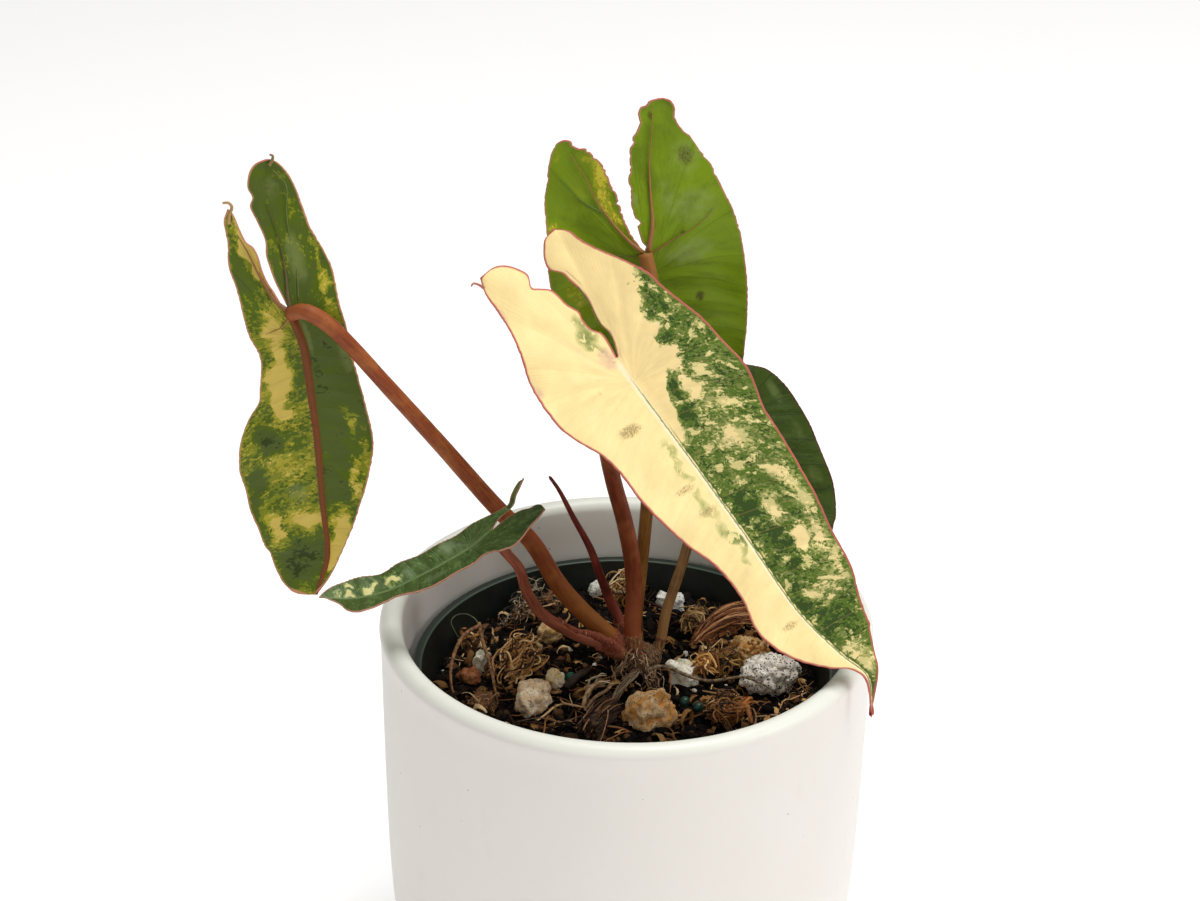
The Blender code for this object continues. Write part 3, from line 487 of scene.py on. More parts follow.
@dataclass
class Studio:
    """Plain pale floor, soft lights and the camera."""

    focal: float = 90.0
    sensor: float = 36.0
    camera_at: tuple[float, float, float] = (-8.9, -778.5, 614.8)
    pitch: float = 28.29
    roll: float = -0.92
    floor_size: float = 9000.0
    floor_drop: float = 0.05
    floor_glow: float = 0.35

    def set_camera(self) -> None:
        """Puts the camera in front of the plant, looking down on it."""
        data = bpy.data.cameras.new("camera")
        data.lens = self.focal
        data.sensor_width = self.sensor
        data.sensor_fit = "HORIZONTAL"
        data.clip_end = 100.0
        camera = bpy.data.objects.new("camera", data)
        bpy.context.scene.collection.objects.link(camera)
        pitch = math.radians(self.pitch)
        roll = math.radians(self.roll)
        ahead = Vector((0, math.cos(pitch), -math.sin(pitch)))
        level = Vector((1, 0, 0))
        above = level.cross(ahead)
        right = level * math.cos(roll) - above * math.sin(roll)
        top = above * math.cos(roll) + level * math.sin(roll)
        turn = Matrix((right, top, -ahead)).transposed()
        camera.matrix_world = Matrix.Translation(Vector(self.camera_at) * MM) @ turn.to_4x4()
        bpy.context.scene.camera = camera

    def set_floor(self) -> None:
        """Lays the floor."""
        bpy.ops.object.select_all(action="DESELECT")
        bpy.ops.mesh.primitive_plane_add(size=self.floor_size * MM, location=(0, 0, -self.floor_drop * MM))
        floor = bpy.context.active_object
        floor.name = "floor"
        paint = Paint("pale floor")
        clouds = paint.noise(paint.spot(), 300.0)
        colour = paint.mix(clouds, "F4F3F1", "F9F8F7")
        dress(floor, paint.finish(colour, 0.9, Emission_Strength=self.floor_glow))

    def light(self, name: str, place: tuple[float, float, float], size: float, power: float) -> None:
        """Adds a soft square light that looks at the plant."""
        data = bpy.data.lights.new(name, "AREA")
        data.size = size * MM
        data.energy = power
        lamp = bpy.data.objects.new(name, data)
        lamp.location = Vector(place) * MM
        aim = Vector((0, 0, 150)) * MM - lamp.location
        lamp.rotation_euler = aim.to_track_quat("-Z", "Y").to_euler()
        bpy.context.scene.collection.objects.link(lamp)

    def build(self) -> None:
        """Builds the studio."""
        self.set_camera()
        self.set_floor()
        world = bpy.data.worlds.new("soft daylight")
        world.use_nodes = True
        world.node_tree.nodes["Background"].inputs[0].default_value = (1, 1, 1, 1)
        world.node_tree.nodes["Background"].inputs[1].default_value = 0.25
        bpy.context.scene.world = world
        bpy.context.scene.view_settings.view_transform = "Standard"
        self.light("key", (1150, -420, 950), 500, 5.9)
        self.light("top", (250, 100, 1600), 700, 15.0)
        self.light("front", (-600, -1250, 1000), 1000, 2.0)
        self.light("fill", (-150, -900, 420), 400, 0.6)
        log.info("studio ready")


@dataclass(frozen=True)
class Half:
    """One half of a flat blade, as (along, across) points. Along runs from the stalk's joint to the tip."""

    margin: tuple
    lobe: tuple
    sinus: tuple


@dataclass(frozen=True)
class Patch:
    """A patch of more or less green: centre along and across, half sizes, amount and turn in degrees."""

    along: float
    across: float
    half_along: float
    half_across: float
    amount: float
    turn: float = 0.0

    def at(self, along: float, across: float) -> float:
        """Gives the patch's share at a flat point."""
        angle = math.radians(self.turn)
        x, y = along - self.along, across - self.across
        u = (x * math.cos(angle) + y * math.sin(angle)) / self.half_along
        v = (y * math.cos(angle) - x * math.sin(angle)) / self.half_across
        return self.amount * math.exp(-((u * u + v * v) ** 1.5))


@dataclass(frozen=True)
class Vein:
    """A raised vein: flat points, its radius at both ends, and the side it stands on."""

    route: tuple
    radii: tuple[float, float]
    below: bool = True
    colours: tuple[str, str] | None = None


@dataclass(frozen=True)
class BladeShape:
    """A blade: the midrib's line from the lobes to the tip, the side that faces up, and its two halves."""

    name: str
    midrib: tuple
    joint: int
    face: tuple
    fold: tuple
    wave: tuple
    halves: dict


FRONT = BladeShape(
    name="leaf_front",
    midrib=(
        (-30.0, 10.0, 258.0), (-16.8, 6.0, 241.2), (-4.1, 1.0, 225.2), (11.4, -7.0, 206.7), (32.2, -19.0, 181.8),
        (50.2, -29.0, 158.9), (62.6, -36.0, 149.1), (70.4, -38.0, 143.0), (72.4, -38.0, 128.4),
    ),
    joint=2,
    face=(0.10, -0.75, 0.62),
    fold=(14.0, 10.0),
    wave=(0.8, 21.0, 0.6),
    halves={
        +1: Half(
            margin=(
                (127, 0.8), (120, 1.2), (112, 2.5), (108, 6), (101, 10.4), (94, 13.4), (87, 14.5), (78, 12.3),
                (71, 12.5), (63, 14.2), (56, 16.8), (45, 19.6), (36, 20.6), (27, 20.8), (19, 22.4), (12, 25.2),
                (5, 27.2), (-2, 27.6),
            ),
            lobe=((-2, 27.6), (-11, 26.3), (-19, 24), (-27, 21.6), (-33, 20.9), (-40, 20.6), (-44, 19)),
            sinus=(
                (0, 0), (-4, -0.7), (-9, -0.9), (-12, 1), (-16, 1.3), (-18, 0.8), (-22, 2.4), (-28, 3.5),
                (-31, 6.5), (-32.5, 8.1), (-36, 6.6), (-38.5, 7.5), (-42, 10), (-44, 13), (-44.5, 16), (-44, 19),
            ),
        ),
        -1: Half(
            margin=(
                (128, -0.6), (121, -1.5), (116, -5.5), (112, -9.9), (104, -14), (95, -18.2), (84, -20.9),
                (77, -22), (68, -22.8), (56, -24.4), (45, -25.3), (37, -25.8), (30, -27.8), (23, -28.6),
                (16, -28.3), (8, -27.5), (0, -25.8), (-4, -24.8),
            ),
            lobe=(
                (-4, -24.8), (-11, -23), (-15, -22.2), (-22, -18.7), (-29, -14.8), (-34, -12.4), (-39, -10.8),
                (-41.5, -8),
            ),
            sinus=(
                (0, 0), (-4, -1.6), (-8, -2.5), (-11, -1.9), (-15, -2.3), (-19, -3.2), (-23, -3.1), (-27, -2.4),
                (-30, -1.9), (-33, 0.3), (-36, -0.1), (-39, -2), (-41, -4), (-41.5, -8),
            ),
        ),
    },
)

LEFT = BladeShape(
    name="leaf_left",
    midrib=(
        (-109.8, 10.0, 276.1), (-103.9, 6.0, 256.2), (-98.5, 0.0, 239.1), (-95.2, -1.0, 229.4),
        (-93.3, -2.0, 213.7), (-92.1, -3.0, 202.7), (-90.8, -5.0, 180.4), (-89.7, -7.0, 162.8), (-92.9, -9.0, 150.4),
    ),
    joint=2,
    face=(-0.10, 1.0, -0.25),
    fold=(8.0, 8.0),
    wave=(1.2, 26.0, 1.1),
    halves={
        +1: Half(
            margin=(
                (86, 1.7), (83, 2.5), (78, 3.9), (73, 6.3), (68, 9), (63, 11.1), (58, 13), (52, 14.9), (47, 16.1),
                (42, 16.4), (32, 15.5), (22, 14.1), (15, 13.1), (9, 13.6), (3, 14.2),
            ),
            lobe=(
                (3, 14.2), (-6, 14.9), (-10, 15), (-14, 14.4), (-18, 13.5), (-22, 12.5), (-28, 12.1), (-36, 11.4),
                (-40, 10.3), (-43, 8.5), (-44.5, 6),
            ),
            sinus=(
                (0, 0), (-5, -0.9), (-10, -1.8), (-14, -2.1), (-18, -2.1), (-22, -1.1), (-28, -1.7), (-33, -2.3),
                (-35, -0.9), (-38, -1.4), (-41, -0.4), (-43, 1), (-44.2, 3), (-44.5, 6),
            ),
        ),
        -1: Half(
            margin=(
                (91.5, -3.3), (92, -6.4), (91, -9.1), (89, -11.9), (85, -15.3), (75, -18.6), (67, -20.1),
                (62, -21.7), (56, -22.6), (51, -23.7), (46, -23.6), (41, -22.9), (36, -21.1), (32, -19),
                (27, -15.5), (22, -14.5), (15, -13.3), (9, -13.3), (3, -13.9),
            ),
            lobe=(
                (3, -13.9), (-1, -13.7), (-7, -13.3), (-12, -13.3), (-16, -13.6), (-19, -13.3), (-24, -11.8),
                (-29, -11.2), (-31, -10.8), (-33.5, -9),
            ),
            sinus=(
                (0, 0), (-2, -1.4), (-7, -2.8), (-10, -3.8), (-14, -4.4), (-18, -4.4), (-21, -5), (-23, -6.5),
                (-27, -7.2), (-32, -7.8), (-33.5, -9),
            ),
        ),
    },
)

BACK = BladeShape(
    name="leaf_back",
    midrib=(
        (-6.7, 46.0, 286.4), (-1.6, 42.0, 264.3), (3.6, 37.0, 243.3), (8.7, 40.0, 217.8), (14.0, 43.0, 190.8),
        (19.3, 44.0, 165.7), (24.7, 44.0, 142.4),
    ),
    joint=2,
    face=(0.0, 1.0, -0.3),
    fold=(6.0, 6.0),
    wave=(0.9, 30.0, 0.4),
    halves={
        +1: Half(
            margin=(
                (97, 4), (90, 9), (80, 14), (68, 18), (55, 21.5), (46, 23), (34, 26.1), (25, 27.7), (18, 28.5),
                (11, 29), (3, 29.2),
            ),
            lobe=(
                (3, 29.2), (-3, 28.9), (-9, 28), (-15, 26.4), (-22, 24.6), (-26, 22.5), (-31, 20.5), (-34.5, 18.1),
                (-38, 17.3), (-40.5, 17.8), (-43, 16.9), (-44, 15),
            ),
            sinus=(
                (0, 0), (-6, -0.5), (-10, -0.7), (-15, -1), (-19, -0.3), (-22, -0.3), (-27, 1.2), (-30, 1.7),
                (-34, 3.2), (-36, 5.1), (-38, 6.4), (-41, 6.6), (-43, 8), (-44, 10.5), (-44.3, 13), (-44, 15),
            ),
        ),
        -1: Half(
            margin=(
                (97, -4), (90, -9), (80, -15), (68, -20), (55, -24), (41, -27), (28, -29), (15, -29.8),
                (6, -30.2), (1, -29.9),
            ),
            lobe=(
                (1, -29.9), (-3, -29.5), (-12, -27.7), (-21, -26.2), (-25, -24.6), (-30, -23), (-34, -21.2),
                (-36.5, -19.5), (-37.5, -17.8),
            ),
            sinus=(
                (0, 0), (-3, -1.6), (-7, -3.1), (-12, -4), (-16, -4.2), (-19, -4.5), (-22, -5.6), (-25, -5.8),
                (-28, -6.6), (-30, -7.8), (-32, -9.1), (-34, -10.6), (-34.5, -12.8), (-37, -14.5), (-37.8, -16.5),
                (-37.5, -17.8),
            ),
        ),
    },
)

RIGHT = BladeShape(
    name="leaf_right",
    midrib=(
        (20.9, 33.0, 210.3), (28.4, 30.0, 198.4), (37.2, 27.0, 186.8), (46.2, 24.0, 173.7), (54.5, 20.0, 160.3),
        (60.4, 16.0, 148.2),
    ),
    joint=1,
    face=(0.25, -0.75, 0.6),
    fold=(8.0, 8.0),
    wave=(0.6, 18.0, 0.2),
    halves={
        +1: Half(
            margin=((57, 4), (50, 8), (42, 12), (30, 15), (21, 16), (12, 16.5), (4, 16)),
            lobe=((4, 16), (-3, 14), (-8, 11.5), (-12, 8.5), (-14.5, 5)),
            sinus=((0, 0), (-3, 1), (-8, 2), (-12, 3), (-14.5, 5)),
        ),
        -1: Half(
            margin=(
                (57, -4), (52, -7.7), (49, -10.4), (42, -13.3), (34, -15), (26, -16.8), (18, -17.7),
                (11, -18.2), (5, -17.3),
            ),
            lobe=((5, -17.3), (0, -15.8), (-3, -13.5), (-6, -10.6), (-10, -9), (-13, -7), (-14.5, -5)),
            sinus=((0, 0), (-3, -1), (-8, -2), (-12, -3), (-14.5, -5)),
        ),
    },
)

SMALL = BladeShape(
    name="leaf_small",
    midrib=(
        (-30.0, -3.0, 179.4), (-40.7, -9.0, 173.1), (-46.8, -12.0, 168.9), (-52.6, -15.0, 166.4),
        (-61.3, -18.0, 162.5), (-71.5, -21.0, 158.7), (-81.7, -23.0, 157.3), (-90.7, -24.0, 158.4),
    ),
    joint=1,
    face=(0.05, -0.25, 1.0),
    fold=(16.0, 16.0),
    wave=(0.5, 13.0, 0.0),
    halves={
        +1: Half(
            margin=(
                (54.5, 2), (52, 4.1), (48, 5.8), (43, 6.6), (34, 6.8), (27, 6.9), (18, 6.6), (9, 6.4), (3, 5.7),
            ),
            lobe=((3, 5.7), (-1, 4.7), (-5, 3.7), (-9, 3.5), (-11, 5.2), (-14, 7.2), (-16, 8), (-17.5, 7.6)),
            sinus=((0, 0), (-4, 1.4), (-8, 1.7), (-10.5, 2.4), (-12.5, 4.2), (-15, 5.8), (-17.5, 7.6)),
        ),
        -1: Half(
            margin=(
                (53.5, -0.3), (50, -2.4), (48, -5.6), (45, -7.4), (42, -7), (37, -4.9), (34, -4.1), (31, -5.2),
                (28, -6.6), (22, -7.1), (16, -7.2), (10, -7), (6.5, -6.3), (4, -7.8), (2, -10.2),
            ),
            lobe=((2, -10.2), (-1, -11.7), (-4, -11.4), (-8, -10.4), (-13, -8.9), (-16, -7.3)),
            sinus=((0, 0), (-4, 0.2), (-8, 0), (-11, -0.9), (-13, -2.5), (-15, -3), (-16, -4.3), (-16, -7.3)),
        ),
    },
)


@dataclass(frozen=True)
class Tone:
    """A tone of a blade, which shows where the green is over its level.

    The noise of its edge has a size across the veins, a stretch along them, and a sway and a lace that shift the edge.
    """

    level: float
    colour: str
    size: float
    stretch: float
    sway: float
    lace: float = 0.0
    soft: float = 0.03


@dataclass(frozen=True)
class BladeFinish:
    """One side of a variegated blade: its palest tone, the greens over it, veins, midrib, stipples, blushes, painted
    sheen, a green edge band on the front leaf, and margin.
    """

    name: str
    pure: str
    tones: tuple[Tone, ...]
    vein: str = "F6E8B4"
    vein_share: float = 0.25
    vein_gap: float = 7.0
    hair_share: float = 0.10
    rib: str = "FFF4CC"
    rib_half: float = 1.4
    rib_shift: float = 0.0
    rib_core: float = 0.75
    rib_line: str = ""
    margin: str = "C4655A"
    margin_width: float = 0.5
    rough: float = 0.42
    relief: float = 0.12
    vein_relief: float = 0.5
    stipple: str = "8A7446"
    blush: str = "C58F92"
    # Tone and share of the painted sheen, a painted highlight on most leaves; on the front leaf the real green of the
    # band along its margin.
    sheen_and_edge_green: str = "6E9A2C"
    sheen_and_edge_share: float = 0.8
    islands: float = 0.0
    island_size: float = 4.5
    mass: float = 5.0
    mass_sway: float = 0.0
    firm: float = 0.4
    speck: float = 0.62
    calm: float = 0.0
    calm_soft: float = 0.09
    island_tone: str = ""
    smudge_share: float = 0.45
    line_share: float = 0.8

    def paint(self) -> bpy.types.Material:
        """Builds the material."""
        paint = Paint(self.name)
        across_veins, along_vein, green = paint.split(paint.attribute("veins"))
        along, across, rim = paint.split(paint.attribute("flat"))
        stipple, blush, sheen_and_edge_green = paint.split(paint.attribute("marks_and_sheens"))
        flat = paint.merge(along, across)
        lace = paint.spread(flat, 1.1, 3.0, 0.65)
        specks = paint.split(paint.cells(paint.merge(across_veins, along_vein * 0.75), self.speck, "Color"))
        mass = paint.spread(paint.merge(across_veins, along_vein * 0.7, 3.0), self.mass, 4.0, 0.6, 0.3)
        gain = paint.step(green, 0.0, self.firm)
        calm = paint.step(across, -0.3, 0.6) * self.calm
        gain = gain * (1 - calm)
        zone = paint.spread(flat, 6.0, 2.0) * 1.5 + 0.25
        mottle = paint.noise(flat, 11.0, 3.0)
        colour = paint.grain(paint.mix(mottle, self.pure, self.pure), mottle, 0.05)
        colour = paint.grain(colour, paint.noise(paint.merge(across_veins / 5.0, along_vein / 9.0, 2.0), 1.0, 4.0, 0.6), 0.16)
        if self.island_tone:
            colour = paint.mix(paint.step(green, 0.3, 0.6) * 0.9, colour, self.island_tone)
        if self.islands:
            island = paint.spread(paint.merge(across_veins, along_vein * 0.8, 7.0), self.island_size, 5.0, 0.6, 0.3)
            green = green - paint.step(island, 0.62, 0.70) * self.islands
        tinted = None
        for index, tone in enumerate(self.tones):
            spot = paint.merge(across_veins / tone.size, along_vein / (tone.size * tone.stretch), 3.0 * index)
            blotch = paint.spread(spot, 1.0, 5.0, 0.62, 0.3)
            fine = specks[index % 3] * 0.6 + lace * 0.4
            shift = (blotch - 0.5) * tone.sway + (fine - 0.5) * zone * tone.lace + (mass - 0.5) * self.mass_sway
            level = green + shift * gain
            edge = paint.step((level - tone.level) / (calm * self.calm_soft + tone.soft), -1.0, 1.0)
            colour = paint.mix(edge, colour, tone.colour)
            tinted = tinted or edge
        shade = paint.noise(paint.merge(across_veins / 2.5, along_vein / 12.0, 11.0), 1.0, 3.0)
        colour = paint.grain(colour, shade, 0.12)
        cloud = paint.noise(flat, 2.2, 3.0)
        # Painted sheen: a paler tone over the greens where the sheen patches lie, a painted highlight; on the front
        # leaf this lays the real green edge band.
        sheen_and_edge_mask = paint.step(sheen_and_edge_green * (cloud + 0.3), 0.25, 0.75) * self.sheen_and_edge_share
        colour = paint.mix(sheen_and_edge_mask * tinted if tinted else sheen_and_edge_mask, colour, self.sheen_and_edge_green)
        colour = paint.mix(paint.step(blush * (cloud + 0.5), 0.2, 0.9) * 0.6, colour, self.blush)
        streaks = paint.noise(paint.merge(across_veins / 0.5, along_vein / 1.8, 5.0), 1.0, 4.0, 0.65)
        smudge = paint.step(stipple * (streaks + 0.35), 0.30, 0.75)
        colour = paint.mix(smudge * self.smudge_share, colour, self.stipple)
        dots = paint.step(paint.noise(flat, 0.6, 2.0, 0.7) * (stipple + 0.45), 0.60, 0.70)
        colour = paint.mix(dots * 0.75, colour, self.stipple)
        beat = abs((across_veins / self.vein_gap).fract() - 0.5) * (2 * self.vein_gap)
        strand = paint.step(beat, self.vein_gap - 0.6, self.vein_gap - 0.1)
        colour = paint.mix(strand * self.vein_share, colour, self.vein)
        hair = abs((across_veins / 0.62).fract() - 0.5) * 2
        hairs = paint.step(hair, 0.5, 1.0) * paint.step(shade, 0.35, 0.65)
        colour = paint.mix(hairs * self.hair_share, colour, paint.mix(1.0, colour, "B8A078", "MULTIPLY"))
        half = 1 - along * 0.0062
        off = abs(across - self.rib_shift) / (half * self.rib_half)
        rib = (1 - paint.step(off, self.rib_core, 1.1)) * paint.step(along, -1.5, 2.0)
        ribbed = paint.grain(paint.mix(lace, self.rib, self.rib), paint.noise(flat, 1.2, 3.0), 0.12)
        colour = paint.mix(rib, colour, ribbed)
        if self.rib_line:
            for place, start in ((0.45, 20.0), (-0.35, 2.0)):
                line = 1 - paint.step(abs(across + place + (lace - 0.5) * 0.3), 0.09, 0.30)
                colour = paint.mix(line * paint.step(along, start, start + 14.0) * self.line_share, colour, self.rib_line)
        wobble = paint.noise(flat, 2.0) * 0.35
        fringe = 1 - paint.step(rim + wobble, self.margin_width * 0.7, self.margin_width * 1.7)
        colour = paint.mix(fringe, colour, self.margin)
        height = strand * self.vein_relief + hairs * 0.10 + shade * 0.4 + lace * 0.2
        rough = self.rough + (lace - 0.5) * 0.2
        return paint.finish(colour, rough, height, self.relief, Specular_IOR_Level=0.18)


@dataclass
class Blade:
    """A leaf blade: a waved sheet with a raised midrib, veins and a thin coloured margin."""

    shape: BladeShape
    upper: BladeFinish
    under: BladeFinish
    base_green: dict[int, float]
    patches: tuple[Patch, ...] = ()
    stipples: tuple[Patch, ...] = ()
    blushes: tuple[Patch, ...] = ()
    # Patches of painted sheen, a painted highlight on the blade.
    painted_sheens: tuple[Patch, ...] = ()
    bright_edge: dict[int, float] = field(default_factory=dict)
    bright_width: float = 3.2
    veins: tuple[Vein, ...] = ()
    vein_colours: tuple[str, str] = ("94603A", "7A4824")
    rows: int = 132
    lobe_rows: int = 64
    middles: int = 20
    thickness: float = 0.5
    rib_thickness: float = 1.9
    rib_lift: float = 0.25
    tip_margin: float = 1.0
    warp: float = 1.0
    nibble: float = 0.0
    swell: float = 0.7
    lean: float = 0.2
    bend: float = 0.008
    fan: float = 24.0
    fan_start: float = 8.0
    pucker: float = 0.35
    vein_gap: float = 7.0
    jag: float = 0.22
    inner_steps: tuple[float, ...] = (0.0, 0.35, 0.8, 1.4)
    outer_steps: tuple[float, ...] = (1.2, 0.6, 0.25, 0.0)
    per_span: int = 24
    path: Path = field(init=False)
    tangents: list = field(init=False)
    normals: list = field(init=False)

    def __post_init__(self) -> None:
        """Lays the midrib's line and the frame along it."""
        line = smooth_line(self.shape.midrib, self.per_span)
        self.path = Path(line)
        self.joint_reach = self.path.reach[self.shape.joint * self.per_span]
        self.length = self.path.length - self.joint_reach
        face = Vector(self.shape.face)
        self.tangents = []
        self.normals = []
        for i in range(len(line)):
            tangent = (line[min(i + 1, len(line) - 1)] - line[max(i - 1, 0)]).normalized()
            self.tangents.append(tangent)
            self.normals.append((face - face.dot(tangent) * tangent).normalized())

    def joint(self) -> tuple[Vector, Vector]:
        """Gives the point where the stalk meets the blade, and the upper side's normal there."""
        index = self.shape.joint * self.per_span
        return self.path.points[index], self.normals[index]

    def place(self, along: float, across: float, width: float, lift: float = 0.0) -> Vector:
        """Lays a flat point on the leaf's curved sheet.

        Args:
            along: from the joint towards the tip.
            across: from the midrib.
            width: the half's greatest width, which the margin's wave is measured by.
            lift: extra height over the sheet.

        Returns:
            The point in space.
        """
        reach = self.joint_reach + along
        low, share = self.path.index(reach)
        tangent = self.tangents[low].lerp(self.tangents[low + 1], share)
        normal = self.normals[low].lerp(self.normals[low + 1], share)
        beyond = reach - min(max(reach, 0.0), self.path.length)
        point = self.path.at(reach) + tangent * beyond
        height, length, phase = self.shape.wave
        side = 1 if across > 0 else -1
        fold = math.radians(self.shape.fold[1] if side > 0 else self.shape.fold[0])
        swing = math.sin(2 * math.pi * along / length + phase * (2 + side))
        wave = height * swing * min(abs(across) / width, 1) ** 2
        rise = abs(across) * math.sin(fold) + wave + lift
        return point + tangent.cross(normal) * across * math.cos(fold) + normal * rise

    def vein_place(self, along: float, across: float) -> tuple[float, float]:
        """Gives a point's place across the side veins and along them. They fan into the lobes from the joint."""
        out = abs(across)
        start = along - self.fan_start - self.lean * out - self.bend * out * out
        if start >= 0:
            return start, out
        return -self.fan * math.atan2(-start, out + 0.001), math.hypot(start, out)

    def green(self, along: float, across: float, side: int) -> float:
        """Gives how green a flat point is, before the streaks. The patches' outlines are bent by noise."""
        spot = Vector((along, across, 5.0))
        other = spot + Vector((40, 9, 3))
        bend = 2.4 * noise.noise(spot / 6.0) + 1.8 * noise.noise(spot / 2.4)
        sway = 2.4 * noise.noise(other / 6.0) + 1.8 * noise.noise(other / 2.4)
        along += self.warp * bend
        across += self.warp * sway
        return self.base_green[side] + sum(patch.at(along, across) for patch in self.patches if patch.across * side > 0)

    def half_rows(self, side: int) -> list[tuple[Vector, Vector]]:
        """Gives (inner, outer) pairs of flat points from the tip to the end of the lobe."""
        half = self.shape.halves[side]
        margin = Path(smooth_line(((self.length, 0.0), *half.margin)))
        lobe = Path(smooth_line(half.lobe))
        sinus = Path(smooth_line(half.sinus))
        rows = []
        for i, outer in enumerate(margin.even(self.rows + 1)):
            rows.append((Vector((self.length * (1 - i / self.rows), 0.0)), outer))
        rows += list(zip(sinus.even(self.lobe_rows + 1), lobe.even(self.lobe_rows + 1)))[1:]
        return rows

    def steps(self, span: float) -> list[float]:
        """Gives the distances of a row's points from its inner end: close together near both ends."""
        tight = min(1.0, span / 5.0)
        inner = [d * tight for d in self.inner_steps]
        outer = [span - d * tight for d in self.outer_steps]
        room = outer[0] - inner[-1]
        middle = [inner[-1] + room * (i + 1) / (self.middles + 1) for i in range(self.middles)]
        return [*inner, *middle, *outer]

    def build_half(self, side: int) -> bpy.types.Object:
        """Builds one half as an open sheet with its attributes, flat UV map and midrib weights."""
        rows = self.half_rows(side)
        width = max(abs(outer.y) for _, outer in rows)
        columns = len(self.inner_steps) + self.middles + len(self.outer_steps) - 1
        points = []
        flats = []
        veins = []
        marks_and_sheens = []
        ribs = []
        for row, (inner, outer) in enumerate(rows):
            span = (outer - inner).length
            direction = (outer - inner).normalized() if span > 0.01 else Vector((0.0, side))
            ragged = self.jag * noise.noise(Vector((row * 0.55, side * 9.0, 4.0))) * min(1.0, span / 5.0)
            in_lobe = row > self.rows
            if in_lobe:
                torn = noise.noise(Vector((row * 0.31, side * 5.0, 8.0))) + 0.6 * noise.noise(Vector((row * 0.8, side, 2.0)))
                keep = min(1.0, span / 8.0)
                inner = inner + direction * (self.nibble * max(0.0, torn) * keep)
                outer = outer - direction * (0.5 * self.nibble * max(0.0, -torn) * keep)
                span = (outer - inner).length
            taper = 0.25 + 0.75 * row / self.rows
            for column, distance in enumerate(self.steps(span)):
                near_edge = max(0.0, 1 - (span - distance) / 1.5)
                flat = inner + direction * (distance + ragged * near_edge)
                ridge = 0.0 if in_lobe else max(0.0, 1 - (distance / self.inner_steps[-1]) ** 2) ** 1.5
                across_veins, along_vein = self.vein_place(flat.x, flat.y)
                share = distance / span if span > 0.01 else 0.0
                bulge = abs(math.sin(math.pi * across_veins / self.vein_gap)) ** 0.7
                room = 4 * share * (1 - share) * min(1.0, span / 10.0)
                roll = self.swell * noise.noise(Vector((flat.x / 14.0, flat.y / 14.0, 1.0))) * share * 2
                lift = self.pucker * bulge * room + roll + self.rib_lift * ridge * taper
                rim = min(span - distance, 1 + (self.length - flat.x) * self.tip_margin)
                if in_lobe:
                    rim = min(rim, distance)
                points.append(self.place(flat.x, flat.y, width, lift))
                flats.extend((flat.x, flat.y, rim))
                veins.extend((across_veins, along_vein, self.green(flat.x, flat.y, side)))
                # The third channel holds the green edge band and the painted sheen patches.
                edge = self.bright_edge.get(side, 0.0) * max(0.0, 1 - (span - distance) / self.bright_width)
                marks_and_sheens.append(sum(patch.at(flat.x, flat.y) for patch in self.stipples))
                marks_and_sheens.append(sum(patch.at(flat.x, flat.y) for patch in self.blushes))
                marks_and_sheens.append(edge + sum(patch.at(flat.x, flat.y) for patch in self.painted_sheens))
                ribs.append(ridge * taper)
        obj = sheet(self.shape.name, len(rows) - 1, columns, lambda row, column: points[row * (columns + 1) + column])
        mesh = obj.data
        mesh.attributes.new("flat", "FLOAT_VECTOR", "POINT").data.foreach_set("vector", flats)
        mesh.attributes.new("veins", "FLOAT_VECTOR", "POINT").data.foreach_set("vector", veins)
        mesh.attributes.new("marks_and_sheens", "FLOAT_VECTOR", "POINT").data.foreach_set("vector", marks_and_sheens)
        thin = self.thickness / self.rib_thickness
        group = obj.vertex_groups.new(name="rib")
        for index, weight in enumerate(ribs):
            group.add([index], thin + (1 - thin) * weight, "REPLACE")
        for loop, data in zip(mesh.loops, mesh.uv_layers[0].data):
            start = loop.vertex_index * 3
            data.uv = (0.5 + flats[start] * 0.003, 0.5 + flats[start + 1] * 0.01)
        return obj

    def build_vein(self, index: int, vein: Vein) -> bpy.types.Object:
        """Builds a raised vein as a tapered tube half sunk into the blade."""
        line = Path(smooth_line([Vector((*point, 0.0)) for point in vein.route])).even(26)
        width = max(abs(p[1]) for half in self.shape.halves.values() for p in half.margin)
        count = len(line) - 1
        radii = [vein.radii[0] * (vein.radii[1] / vein.radii[0]) ** (i / count) for i in range(count + 1)]
        points = []
        for point, radius in zip(line, radii):
            lift = -self.thickness - 0.1 * radius if vein.below else -0.45 * radius
            points.append(self.place(point.x, point.y, width, lift))
        return tube(f"{self.shape.name}_vein_{index}", points, radii, 8)

    def vein_paint(self, colours: tuple[str, str]) -> bpy.types.Material:
        """Builds a vein's material, blotched between two tones."""
        paint = Paint(self.shape.name + " veins")
        blotches = paint.noise(paint.spot(), 2.5, 3.0)
        colour = paint.mix(blotches, *colours)
        return paint.finish(colour, 0.45, paint.noise(paint.spot(), 0.6), 0.08)

